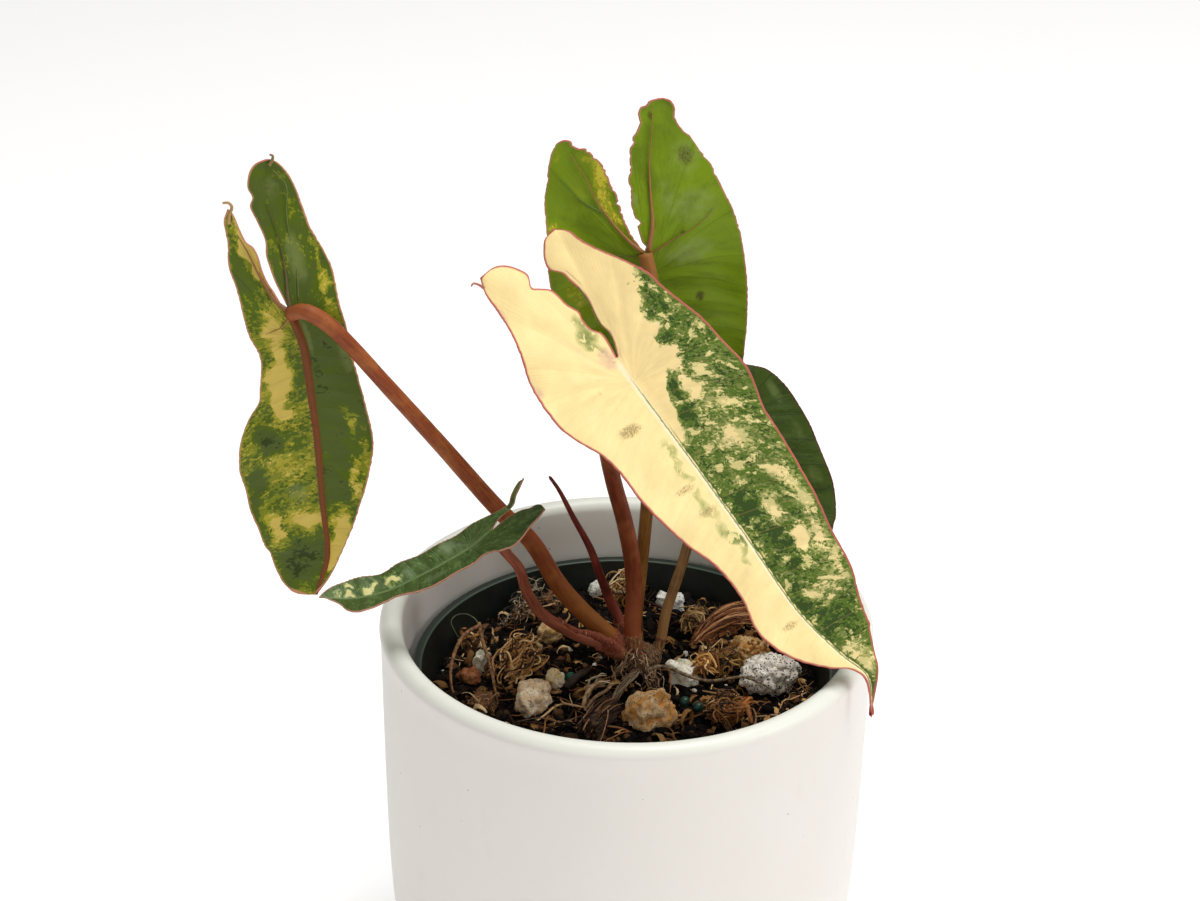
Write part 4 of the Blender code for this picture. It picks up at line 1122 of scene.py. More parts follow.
    def build(self) -> bpy.types.Object:
        """Builds the blade and lets it stand for its CAD node."""
        name = self.shape.name
        blade = join(name, [self.build_half(side) for side in self.shape.halves])
        weld(blade, 0.02)
        facing = sum((face.normal * face.area for face in blade.data.polygons), Vector())
        if facing.dot(Vector(self.shape.face)) < 0:
            select_only(blade)
            bpy.ops.object.mode_set(mode="EDIT")
            bpy.ops.mesh.select_all(action="SELECT")
            bpy.ops.mesh.flip_normals()
            bpy.ops.object.mode_set(mode="OBJECT")
        dress(blade, self.upper.paint(), self.under.paint())
        apply_modifier(
            blade,
            "SOLIDIFY",
            thickness=self.rib_thickness * MM,
            offset=-1.0,
            vertex_group="rib",
            material_offset=1,
            material_offset_rim=0,
        )
        veins = [self.build_vein(index, vein) for index, vein in enumerate(self.veins)]
        paints = {}
        for vein, obj in zip(self.veins, veins):
            colours = vein.colours or self.vein_colours
            if colours not in paints:
                paints[colours] = self.vein_paint(colours)
            dress(obj, paints[colours])
        blade = join(name, [blade, *veins])
        settle(blade, name)
        return blade


@dataclass(frozen=True)
class StalkFinish:
    """A leaf stalk's skin: main, lit and dark tones in fine stripes along it."""

    name: str
    main: str
    light: str
    dark: str
    tip: str
    foot: str

    def paint(self) -> bpy.types.Material:
        """Builds the material."""
        paint = Paint(self.name)
        round_it, along, _ = paint.split(paint.node("UVMap", {"uv_map": "UVMap"}))
        streaks = paint.noise(paint.merge(round_it / 0.7, along / 9.0), 1.0, 4.0, 0.6)
        wide = paint.noise(paint.spot(), 7.0, 3.0)
        colour = paint.mix(paint.step(streaks, 0.35, 0.65), self.dark, self.main)
        colour = paint.mix(paint.step(wide, 0.45, 0.75) * 0.6, colour, self.light)
        colour = paint.mix(paint.step(paint.noise(paint.spot(), 0.8, 3.0), 0.62, 0.70) * 0.5, colour, self.dark)
        share = paint.attribute("share", "Fac")
        colour = paint.mix(paint.step(share, 0.86, 1.0) * 0.7, colour, self.tip)
        colour = paint.mix((1 - paint.step(share + wide * 0.2, 0.15, 0.42)) * 0.65, colour, self.foot)
        height = streaks * 0.7 + paint.noise(paint.spot(), 0.5) * 0.3
        return paint.finish(colour, 0.46 + streaks * 0.12, height, 0.10, Specular_IOR_Level=0.25)


@dataclass
class Stalk:
    """A leaf stalk from inside its sheath to the blade's joint, or the furled new leaf."""

    name: str
    blade: Blade | None
    route: tuple
    radii: tuple[float, float]
    sheath: float
    finish: StalkFinish
    seat: float = 1.3
    overlap: float = 7.0
    steps: int = 90
    sides: int = 20
    knee: float = 0.12

    def path(self) -> Path:
        """Gives the stalk's line, which ends in the underside of the blade's joint."""
        route = [Vector(p) for p in self.route]
        if self.blade:
            joint, normal = self.blade.joint()
            route.append(joint - normal * self.seat)
        return Path(smooth_line(route))

    def radius(self, share: float) -> float:
        """Gives the radius at a share of the length, swollen near the blade."""
        plain = self.radii[0] + (self.radii[1] - self.radii[0]) * share
        swell = self.knee * math.exp(-(((share - 0.93) / 0.05) ** 2)) if self.blade else 0.0
        return plain * (1 + swell)

    def build(self) -> bpy.types.Object:
        """Builds the stalk."""
        path = self.path()
        points = path.even(self.steps, self.sheath - self.overlap)
        radii = []
        for i in range(self.steps):
            share = (self.sheath - self.overlap + (path.length - self.sheath + self.overlap) * i / (self.steps - 1)) / path.length
            radii.append(self.radius(share) * (1 + 0.012 * noise.noise(points[i] / 4.0)))
        if self.blade is None:
            radii[-1] = 0.12
        obj = tube(self.name, points, radii, self.sides)
        start = points[0]
        shares = []
        for vert in obj.data.vertices:
            near = min(range(0, self.steps, 3), key=lambda i: (points[i] - vert.co / MM).length_squared)
            shares.append(near / (self.steps - 1))
        obj.data.attributes.new("share", "FLOAT", "POINT").data.foreach_set("value", shares)
        dress(obj, self.finish.paint())
        settle(obj, self.name)
        return obj


@dataclass
class Crown:
    """The short stem with the old sheaths round the stalks, a dry spur and an aerial root."""

    stalks: list[Stalk]
    centre: tuple[float, float] = (5.0, 17.0)
    radius: float = 5.6
    bottom: float = 97.0
    top: float = 113.5
    head: tuple[float, float, float] = (6.4, 6.0, 4.4)
    voxel: float = 0.32
    spur: tuple = (
        (-3.6, 7.6, 122.2), (-4.6, 5.0, 125.2), (-6.1, 2.0, 128.6), (-8.8, 0.0, 131.4), (-12.8, -0.8, 133.4),
        (-16.4, -1.8, 135.0), (-20.8, -2.0, 139.4),
    )
    root: tuple = ((4.6, 13.0, 113.6), (3.7, 8.5, 114.0), (1.2, 3.8, 113.9), (-1.6, -1.2, 113.4))

    def paint(self) -> bpy.types.Material:
        """Builds the material: dry brown below, the stalks' red-brown above."""
        paint = Paint("crown skin")
        spot = paint.spot()
        side, _, height = paint.split(spot)
        streaks = paint.noise(paint.spot((1.6, 1.6, 0.3)), 0.9, 5.0, 0.65)
        patches = paint.noise(spot, 2.6, 4.0, 0.6)
        dry = paint.mix(paint.step(streaks, 0.35, 0.65), "2E1E12", "8E6C4C")
        fresh = paint.mix(paint.step(side, -4.0, 2.0), paint.mix(streaks, "743424", "A85A42"), paint.mix(streaks, "6A3C22", "94603C"))
        level = height + (patches - 0.5) * 9
        colour = paint.mix(paint.step(level, 115.5, 121.5), dry, fresh)
        paper = paint.step(streaks, 0.56, 0.64) * paint.step(patches, 0.42, 0.55)
        colour = paint.mix(paper * 0.8, colour, "CDB08A")
        return paint.finish(colour, 0.7, streaks + patches * 0.5, 0.5, Specular_IOR_Level=0.2)

    def build(self) -> bpy.types.Object:
        """Builds all parts as closed tubes, fuses them and roughens the skin."""
        x, y = self.centre
        stem = tube("stem", [Vector((x, y, z)) for z in (self.bottom, 104, 110, self.top)], [self.radius] * 4, 32)
        bpy.ops.object.select_all(action="DESELECT")
        bpy.ops.mesh.primitive_uv_sphere_add(
            segments=32, ring_count=16, radius=MM, location=Vector((x, y, self.top)) * MM, scale=self.head
        )
        parts = [stem, bpy.context.active_object]
        for stalk in self.stalks:
            path = stalk.path()
            points = path.even(16, 0.0, stalk.sheath)
            radii = [stalk.radii[0] * (1.0 + 0.16 * (i / 15) ** 3) for i in range(16)]
            parts.append(tube("sheath", points, radii, 20))
        spur = Path(smooth_line(self.spur)).even(24)
        parts.append(tube("spur", spur, [2.2 - 1.85 * (i / 23) ** 0.8 for i in range(24)], 14))
        root = Path(smooth_line(self.root)).even(20)
        parts.append(tube("root", root, [1.8 - 0.8 * i / 19 for i in range(20)], 14))
        obj = join("crown", parts)
        select_only(obj)
        bpy.ops.object.transform_apply()
        apply_modifier(obj, "REMESH", mode="VOXEL", voxel_size=self.voxel * MM)
        for vert in obj.data.vertices:
            spot = vert.co / MM
            folds = noise.noise(Vector((spot.x * 1.1, spot.y * 1.1, spot.z * 0.25)))
            flakes = abs(noise.noise(Vector((spot.x, spot.y, spot.z * 0.4)) / 1.1))
            vert.co += vert.normal * (0.3 * folds + 0.5 * flakes - 0.15) * MM
        dress(obj, self.paint())
        settle(obj, "crown")
        return obj


@dataclass
class OuterPot:
    """The round white pot with a beaded rim."""

    height: float = 140.0
    wall: float = 7.0
    floor: float = 7.0
    foot_radius: float = 62.0
    rim_radius: float = 75.0
    bead: float = 3.5
    steps: int = 160
    side: tuple = (
        (6.0, 74.6), (25.0, 74.4), (55.0, 74.0), (85.0, 73.2), (105.0, 71.8), (120.0, 69.8), (131.0, 67.2),
        (135.5, 65.6), (138.5, 63.8),
    )

    def paint(self) -> bpy.types.Material:
        """Builds the matt white finish with a few tiny brown specks and a painted highlight along the top of the rim.
        """
        paint = Paint("matt white glaze")
        spot = paint.spot()
        clouds = paint.noise(spot, 45.0, 3.0)
        colour = paint.mix(clouds, "E6E0D8", "EEE9E3")
        # Painted highlight: the top 3 mm of the rim is painted paler.
        _, _, height = paint.split(spot)
        colour = paint.mix(paint.step(height, self.height - 3.0, self.height - 1.0), colour, "EAEADF")
        specks = 1 - paint.step(paint.cells(spot, 7.0), 0.025, 0.045)
        rare = paint.step(paint.noise(spot, 13.0, 1.0), 0.52, 0.56)
        colour = paint.mix(specks * rare * 0.8, colour, "7A5A3C")
        faint = paint.step(paint.noise(paint.spot((1, 1, 0.35)), 9.0, 5.0, 0.6), 0.58, 0.75)
        colour = paint.mix(faint * 0.12, colour, "CFC4B8")
        grain = clouds * 0.5 + paint.noise(spot, 0.9, 3.0) * 0.5
        return paint.finish(colour, 0.34 + clouds * 0.12, grain, 0.05, Specular_IOR_Level=0.45)

    def build(self) -> bpy.types.Object:
        """Builds the pot."""
        line = smooth_line([(radius, self.height - depth, 0.0) for depth, radius in self.side], 4)
        outside = [(point.x, point.y) for point in reversed(line)]
        inside = [(radius - self.wall, height) for radius, height in reversed(outside) if height > 3 * self.floor]
        centre = (self.rim_radius - self.bead, self.height - self.bead)
        bead = []
        for step in range(17):
            angle = math.pi * step / 16
            bead.append((centre[0] + self.bead * math.cos(angle), centre[1] + self.bead * math.sin(angle)))
        edge = self.foot_radius - self.wall
        foot = [(self.foot_radius - 0.5, 0.0), (self.foot_radius + 0.4, 0.4)]
        profile = [*foot, *outside, *bead, *inside, (edge + 3.5, self.floor + 2.5), (edge, self.floor)]
        obj = turn_profile("outer_pot", profile, self.steps)
        dress(obj, self.paint())
        bpy.ops.object.shade_smooth_by_angle(angle=math.radians(40))
        settle(obj, "outer_pot")
        return obj


@dataclass
class NurseryPot:
    """The thin dark nursery pot inside, with drainage holes."""

    rim_height: float = 121.8
    rim_radius: float = 65.3
    lip: float = 1.7
    lip_depth: float = 3.0
    wall: float = 1.2
    base_radius: float = 47.0
    base: float = 7.3
    holes: int = 6
    hole_radius: float = 4.0
    hole_ring: float = 35.0
    steps: int = 144

    def radius(self, height: float) -> float:
        """Gives the wall's outside radius at a height."""
        share = (height - self.base) / (self.rim_height - self.base)
        return self.base_radius + (self.rim_radius - self.lip - self.base_radius) * share

    def paint(self) -> bpy.types.Material:
        """Builds the dark green plastic, scuffed and paler at its lip, with painted highlights along the lip's two
        edges.
        """
        paint = Paint("dark green plastic")
        spot = paint.spot()
        x, y, height = paint.split(spot)
        scuffs = paint.noise(paint.spot((0.5, 0.5, 0.15)), 1.5, 4.0, 0.6)
        colour = paint.mix(scuffs, "070B07", "121A12")
        lip = paint.step(height, self.rim_height - 0.7, self.rim_height - 0.1)
        colour = paint.mix(lip * 0.6, colour, "18251A")
        # Painted highlights: thin pale green lines along the outer and inner edges of the lip's top.
        reach = (x * x + y * y) ** 0.5
        inner = self.radius(self.rim_height) - self.wall
        for edge in (self.rim_radius - 0.3, inner + 0.3):
            line = 1 - paint.step(abs(reach - edge), 0.15, 0.4)
            colour = paint.mix(line * lip * 0.55, colour, "40563E")
        dust = paint.step(paint.noise(spot, 2.2, 4.0, 0.7), 0.60, 0.72)
        colour = paint.mix(dust * 0.3, colour, "4A3E30")
        return paint.finish(colour, 0.38 + scuffs * 0.25, scuffs, 0.08)

    def build(self) -> bpy.types.Object:
        """Builds the nursery pot and cuts its holes."""
        low = self.rim_height - self.lip_depth
        inner = self.radius(self.rim_height) - self.wall
        floor = self.base + self.wall
        profile = [
            (self.base_radius - 0.6, self.base),
            (self.base_radius + 0.6, self.base + 1.2),
            (self.radius(low), low - 0.6),
            (self.rim_radius, low),
            (self.rim_radius, self.rim_height - 0.6),
            (self.rim_radius - 0.2, self.rim_height - 0.15),
            (self.rim_radius - 0.6, self.rim_height),
            (inner + 0.5, self.rim_height),
            (inner + 0.1, self.rim_height - 0.2),
            (inner, self.rim_height - 0.6),
            (self.radius(floor) - self.wall, floor),
        ]
        obj = turn_profile("liner_pot", profile, self.steps)
        drills = []
        for i in range(self.holes):
            angle = 2 * math.pi * (i + 0.5) / self.holes
            place = Vector((self.hole_ring * math.cos(angle), self.hole_ring * math.sin(angle), self.base)) * MM
            bpy.ops.mesh.primitive_cylinder_add(vertices=32, radius=self.hole_radius * MM, depth=8 * MM, location=place)
            drills.append(bpy.context.active_object)
        drill = join("drill", drills)
        apply_modifier(obj, "BOOLEAN", operation="DIFFERENCE", solver="EXACT", object=drill)
        bpy.data.objects.remove(drill, do_unlink=True)
        dress(obj, self.paint())
        bpy.ops.object.shade_smooth_by_angle(angle=math.radians(35))
        settle(obj, "liner_pot")
        return obj


# Dark, main and light tones and the roughness of the loose bits
CRUMBS = ("040302", "120B07", "6E4C2E", 0.9)
COIR = ("2E1A0E", "9A683C", "E8C492", 0.7)
FLAKES = ("0A0604", "342012", "CC9C60", 0.85)
GRAINS = ("B8B0A0", "DCD6CA", "F2EEE6", 0.8)
TAN_BEADS = ("86582C", "C88C48", "E0B47A", 0.9)
WHITE_BEADS = ("CFC6B8", "E4DCCC", "FAF4EA", 0.9)
RIBBONS = ("241408", "9C6E3C", "F0CE98", 0.8)


class Stuff(Enum):
    """What a loose piece on the potting mix is."""

    STONE = "stone"
    PERLITE = "perlite"
    ROCK = "rock"
    CHIP = "chip"
    HUSK = "husk"
    BARK = "bark"
    FIBRE = "fibre"
    PRILL = "prill"


@dataclass(frozen=True)
class Lump:
    """A loose piece: centre, half sizes, turn about Z in degrees, roughness of its form, and its colours."""

    name: str
    stuff: Stuff
    centre: tuple[float, float, float]
    half: tuple[float, float, float]
    turn: float
    rough: float
    blocky: bool
    seed: int
    colours: tuple[str, str, str]

    def form(self, point: Vector) -> Vector:
        """Shapes a point of the start form as the piece's main form, then adds its fine relief."""
        bump = noise.noise(point * 1.3 + Vector((self.seed * 7.0, 0, 0)))
        fine = noise.noise(point * 3.1 + Vector((0, self.seed * 5.0, 0)))
        point = point * (1 + self.rough * (bump + 0.5 * fine))
        sized = Vector((point.x * self.half[0], point.y * self.half[1], point.z * self.half[2]))
        away = point.normalized()
        seed = Vector((self.seed * 3.0, self.seed, 0))
        if self.stuff in (Stuff.HUSK, Stuff.FIBRE, Stuff.BARK):
            bend = Vector((0, noise.noise(sized / 4 + seed), 0)) * 2
            folds = abs(noise.noise(Vector((sized.x * 0.2, sized.y * 0.9, sized.z * 0.9)) + bend + seed))
            relief = 2.6 * folds - 0.9 + 0.5 * noise.noise(sized / 0.9 + seed)
        elif self.stuff is Stuff.PRILL:
            relief = 0.04 * noise.noise(sized / 0.8 + seed)
        else:
            pits = noise.noise(sized / 2.0 + seed)
            relief = 0.6 * pits - 0.25 * abs(noise.noise(sized / 1.1 + seed)) + 0.16 * noise.noise(sized / 0.5 + seed)
            if self.stuff is Stuff.ROCK:
                relief += 1.3 * (0.5 - noise.voronoi(sized / 1.7 + seed)[0][0])
            if self.stuff is Stuff.STONE:
                relief += 0.03 * max(self.half) ** 2 * (0.5 - noise.voronoi(sized / 5.0 + seed)[0][0])
            if self.stuff is Stuff.PERLITE:
                relief += 1.5 * (0.5 - noise.voronoi(sized / 2.2 + seed)[0][0])
        return sized + away * relief

    def paint(self) -> bpy.types.Material:
        """Builds the material for this kind of piece."""
        paint = Paint(self.name + " surface")
        dark, main, light = self.colours
        spot = paint.spot(turn=-self.turn)
        if self.stuff in (Stuff.HUSK, Stuff.FIBRE, Stuff.BARK):
            strands = paint.noise(paint.spot((0.16, 1.6, 1.6), -self.turn), 0.9, 4.0, 0.65)
            colour = paint.mix(paint.step(strands, 0.35, 0.55), dark, main)
            colour = paint.mix(paint.step(strands, 0.55, 0.72), colour, light)
            dirt = paint.step(paint.noise(spot, 2.4, 4.0, 0.6), 0.48, 0.66)
            colour = paint.mix(dirt * 0.7, colour, "22160E")
            return paint.finish(colour, 0.85, strands, 0.35)
        if self.stuff is Stuff.PRILL:
            colour = paint.mix(paint.noise(spot, 1.5, 3.0), dark, light)
            return paint.finish(colour, 0.35, paint.noise(spot, 0.5), 0.05)
        grains = paint.noise(spot, 0.8, 4.0, 0.7)
        patches = paint.noise(spot, 3.2, 3.0)
        colour = paint.mix(paint.step(patches, 0.35, 0.65), main, light)
        colour = paint.mix(paint.step(grains, 0.50, 0.66) * 0.8, colour, dark)
        if self.stuff is Stuff.PERLITE:
            dots = 1 - paint.step(paint.cells(spot, 0.9), 0.26, 0.36)
            colour = paint.mix(dots * paint.step(paint.noise(spot, 2.2), 0.30, 0.40), colour, "2A211C")
        else:
            dots = 1 - paint.step(paint.cells(spot, 1.2), 0.20, 0.34)
            colour = paint.mix(dots * paint.step(paint.noise(spot, 2.5), 0.44, 0.56) * 0.5, colour, "2E211A")
        height = grains * 0.6 + patches * 0.4
        return paint.finish(colour, 0.85, height, 0.5, Specular_IOR_Level=0.2)

    def build(self) -> bpy.types.Object:
        """Builds the piece from a rounded block or a ball."""
        bpy.ops.object.select_all(action="DESELECT")
        if self.blocky:
            bpy.ops.mesh.primitive_cube_add(size=1.5)
            bpy.ops.object.mode_set(mode="EDIT")
            bpy.ops.mesh.bevel(offset=0.22, segments=3)
            bpy.ops.mesh.subdivide(number_cuts=7)
            bpy.ops.object.mode_set(mode="OBJECT")
        else:
            level = 5 if max(self.half) > 3 else 4
            bpy.ops.mesh.primitive_ico_sphere_add(subdivisions=level, radius=1.0)
        obj = bpy.context.active_object
        obj.name = self.name
        obj.data.name = self.name
        turn = Matrix.Rotation(math.radians(self.turn), 3, "Z")
        for vert in obj.data.vertices:
            vert.co = (turn @ self.form(vert.co.copy()) + Vector(self.centre)) * MM
        dress(obj, self.paint())
        settle(obj, self.name)
        return obj


@dataclass
class PottingMix:
    """The potting mix: a crumbly dark surface, with loose crumbs, coir fibres and husk flakes on it."""

    pot: NurseryPot
    lumps: tuple[Lump, ...]
    top: float = 110.0
    lump_height: float = 1.4
    lump_size: float = 8.0
    back_rise: float = 2.5
    gap: float = 0.3
    cells: int = 230
    crumbs: int = 2000
    fibres: int = 420
    flakes: int = 520
    ribbons: int = 260
    grains: int = 70
    seed: int = 11

    @property
    def radius(self) -> float:
        """Gives the surface's radius inside the nursery pot."""
        return self.pot.radius(self.top) - self.pot.wall - self.gap

    def height(self, x: float, y: float) -> float:
        """Gives the height of the surface's main form."""
        spot = Vector((x, y, 3.0)) / self.lump_size
        lumps = noise.noise(spot) + 0.5 * noise.noise(Vector((x, y, 9.0)) / self.lump_size * 2)
        back = min(max((y - 25) / 30, 0), 1)
        return self.top + self.lump_height * lumps + self.back_rise * back * back * (3 - 2 * back)

    def relief(self, x: float, y: float) -> float:
        """Gives the fine crumbly relief on the main form."""
        spot = Vector((x, y, 0.0))
        crumbs = 2.2 * noise.noise(spot / 3.8) + 1.0 * abs(noise.noise(spot / 1.7)) + 0.4 * noise.noise(spot / 0.8)
        return crumbs - 0.5

    def paint_surface(self) -> bpy.types.Material:
        """Builds the dark crumbly finish."""
        paint = Paint("potting mix")
        spot = paint.spot()
        crumbs = paint.noise(spot, 1.6, 5.0, 0.65)
        wide = paint.noise(spot, 9.0, 3.0)
        colour = paint.mix(paint.step(crumbs, 0.35, 0.7), "030201", "120B07")
        colour = paint.mix(paint.step(wide, 0.5, 0.7) * 0.5, colour, "20140C")
        colour = paint.mix(paint.step(paint.noise(spot, 0.7, 3.0), 0.64, 0.72) * 0.7, colour, "8A6A4A")
        return paint.finish(colour, 0.92, crumbs, 0.5, Specular_IOR_Level=0.1)

    def paint_bits(self, name: str, dark: str, main: str, light: str, rough: float) -> bpy.types.Material:
        """Builds a finish whose tone differs from bit to bit."""
        paint = Paint(name)
        tint = paint.attribute("tint", "Fac")
        spot = paint.spot()
        grains = paint.noise(spot, 0.9, 4.0, 0.65)
        colour = paint.mix(paint.step(tint, 0.25, 0.6), dark, main)
        colour = paint.mix(paint.step(tint, 0.72, 0.95), colour, light)
        colour = paint.grain(colour, grains, 0.45)
        return paint.finish(colour, rough, grains, 0.2, Specular_IOR_Level=0.2)

    def build_surface(self) -> bpy.types.Object:
        """Builds the body: a fine grid pressed into a disc, with its side and underside."""
        cells = self.cells

        def place(row: int, column: int) -> Vector:
            """Maps a square's point to the disc and gives it its height."""
            u = 2 * column / cells - 1
            v = 2 * row / cells - 1
            x = self.radius * u * math.sqrt(1 - v * v / 2)
            y = self.radius * v * math.sqrt(1 - u * u / 2)
            return Vector((x, y, self.height(x, y) + self.relief(x, y)))

        obj = sheet("soil", cells, cells, place)
        bottom = self.pot.base + self.pot.wall + self.gap
        share = (self.pot.radius(bottom) - self.pot.wall - self.gap) / self.radius
        select_only(obj)
        bpy.ops.object.mode_set(mode="EDIT")
        bpy.ops.mesh.select_all(action="SELECT")
        bpy.ops.mesh.region_to_loop()
        bpy.ops.mesh.extrude_edges_move()
        bpy.ops.transform.resize(value=(share, share, 0.0), center_override=(0, 0, bottom * MM))
        bpy.ops.mesh.edge_face_add()
        bpy.ops.mesh.select_all(action="SELECT")
        bpy.ops.mesh.normals_make_consistent(inside=False)
        bpy.ops.object.mode_set(mode="OBJECT")
        dress(obj, self.paint_surface())
        settle(obj, "soil")
        return obj

    def free_spots(self, count: int, pick: random.Random) -> list[Vector]:
        """Gives places on the surface that aren't under a lump or the crown."""
        spots = []
        while len(spots) < count:
            reach = (self.radius - 1.5) * math.sqrt(pick.random())
            angle = 2 * math.pi * pick.random()
            x, y = reach * math.cos(angle), reach * math.sin(angle)
            taken = math.hypot(x - 5, y - 17) < 6
            for lump in self.lumps:
                away = Vector((x - lump.centre[0], y - lump.centre[1]))
                away.rotate(Matrix.Rotation(-math.radians(lump.turn), 2))
                taken = taken or math.hypot(away.x / lump.half[0], away.y / lump.half[1]) < 0.85
            if not taken:
                spots.append(Vector((x, y, self.height(x, y) + self.relief(x, y))))
        return spots

    def lump_spots(self, count: int, pick: random.Random, *stuffs: Stuff) -> list[Vector]:
        """Gives places all over the upper side of the lumps of some kinds, where they fray or hold beads."""
        spots = []
        for lump in self.lumps:
            if lump.stuff not in stuffs:
                continue
            turn = Matrix.Rotation(math.radians(lump.turn), 3, "Z")
            for _ in range(count):
                out = Vector((pick.gauss(0, 1), pick.gauss(0, 1), abs(pick.gauss(0, 1)))).normalized()
                sized = Vector((out.x * lump.half[0], out.y * lump.half[1], out.z * lump.half[2] * 0.9))
                spots.append(turn @ sized + Vector(lump.centre))
        return spots

    def scatter(
        self, name: str, models: list[bpy.types.Object], spots: list[Vector], sizes: tuple[float, float], sink: float, flat: float
    ) -> bpy.types.Object:
        """Copies the models to the spots, each copy turned, sized and tinted at random.

        Args:
            name: the joined object's name.
            models: the modelled bits, removed at the end.
            spots: where the copies lie.
            sizes: the smallest and largest size.
            sink: how much of its size a bit is sunk, 0 for its middle on the surface.
            flat: how much a bit tips out of the level, in degrees.

        Returns:
            All copies as one object.
        """
        pick = random.Random(self.seed + len(name))
        copies = []
        for spot in spots:
            model = pick.choice(models)
            copy = model.copy()
            copy.data = model.data.copy()
            bpy.context.scene.collection.objects.link(copy)
            size = sizes[0] + (sizes[1] - sizes[0]) * pick.random() ** 2
            spin = Matrix.Rotation(2 * math.pi * pick.random(), 4, "Z")
            axis = Vector((pick.random() - 0.5, pick.random() - 0.5, 0.01)).normalized()
            tip = Matrix.Rotation(math.radians(flat) * (2 * pick.random() - 1), 4, axis)
            reach = math.hypot(spot.x, spot.y) + size
            inward = min(1.0, (self.radius - 0.5) / reach)
            place = Matrix.Translation(Vector((spot.x * inward, spot.y * inward, spot.z - sink * size)) * MM)
            copy.data.transform(place @ tip @ spin @ Matrix.Scale(size, 4))
            tint = copy.data.attributes.new("tint", "FLOAT", "POINT")
            tint.data.foreach_set("value", [pick.random()] * len(copy.data.vertices))
            copies.append(copy)
        for model in models:
            bpy.data.objects.remove(model, do_unlink=True)
        return join(name, copies)

    def crumb_models(self) -> list[bpy.types.Object]:
        """Models the crumbs: small rough balls, each pulled about its own way."""
        models = []
        for kind in range(6):
            bpy.ops.object.select_all(action="DESELECT")
            bpy.ops.mesh.primitive_uv_sphere_add(segments=7, ring_count=5, radius=MM)
            obj = bpy.context.active_object
            for vert in obj.data.vertices:
                spot = vert.co / MM
                lumpy = 1 + 0.5 * noise.noise(spot * 1.2 + Vector((kind * 5.0, 0, 0))) + 0.3 * noise.noise(spot * 3.0)
                vert.co = Vector((vert.co.x * 1.2, vert.co.y * 0.9, vert.co.z * 0.75)) * lumpy
            models.append(obj)
        return models

    def fibre_models(self) -> list[bpy.types.Object]:
        """Models the coir fibres: short bent hairs, thin and four-sided."""
        models = []
        pick = random.Random(self.seed)
        for kind in range(8):
            sway = [Vector((pick.uniform(-1, 1), pick.uniform(-1, 1), pick.uniform(0, 0.9))) for _ in range(3)]
            route = [Vector((-1, 0, 0)), sway[0] * 0.25 + Vector((-0.3, 0, 0)), sway[1] * 0.25 + Vector((0.4, 0, 0.1)), sway[2] * 0.3 + Vector((1, 0, 0))]
            points = Path(smooth_line(route)).even(8)
            models.append(tube(f"hair_{kind}", points, [0.028, 0.04, 0.045, 0.045, 0.045, 0.04, 0.035, 0.02], 4))
        return models

    def flake_models(self) -> list[bpy.types.Object]:
        """Models the husk flakes: small curled chips with ragged ends."""
        models = []
        for kind in range(5):

            def place(row: int, column: int, kind: int = kind) -> Vector:
                """Curls the chip along and across."""
                u = row / 6 * 2 - 1
                v = column / 3 * 2 - 1
                ragged = 0.25 * noise.noise(Vector((column * 1.7, kind * 3.0, row * 0.6)))
                curl = 0.35 * math.cos(u * (1.2 + 0.3 * kind)) + 0.12 * v * v
                return Vector((u * (1 + ragged), v * 0.42 * (1 - 0.35 * u * u), curl - 0.25))

            obj = sheet(f"flake_{kind}", 6, 3, place)
            apply_modifier(obj, "SOLIDIFY", thickness=0.12 * MM, offset=0.0)
            models.append(obj)
        return models

    def ribbon_models(self) -> list[bpy.types.Object]:
        """Models the husk ribbons: narrow strips that curl up and twist."""
        models = []
        for kind in range(7):

            def place(row: int, column: int, kind: int = kind) -> Vector:
                """Winds the strip on an opening curl."""
                u = row / 9
                v = column - 1
                angle = (1.4 + 0.45 * kind) * u * 2
                reach = 0.35 + 0.55 * u
                twist = 0.9 * noise.noise(Vector((u * 2.5, kind * 4.0, 0.0)))
                wide = (0.16 + 0.07 * (kind % 3)) * (1.1 - 0.7 * u) * v
                middle = Vector((reach * math.cos(angle) - 0.4, 0.25 * twist + 0.5 * u * ((kind % 2) - 0.5), reach * math.sin(angle) * 0.7))
                return middle + wide * Vector((0.5 * math.sin(angle), math.cos(twist), math.sin(twist)))

            obj = sheet(f"ribbon_{kind}", 9, 2, place)
            apply_modifier(obj, "SOLIDIFY", thickness=0.05 * MM, offset=0.0)
            models.append(obj)
        return models

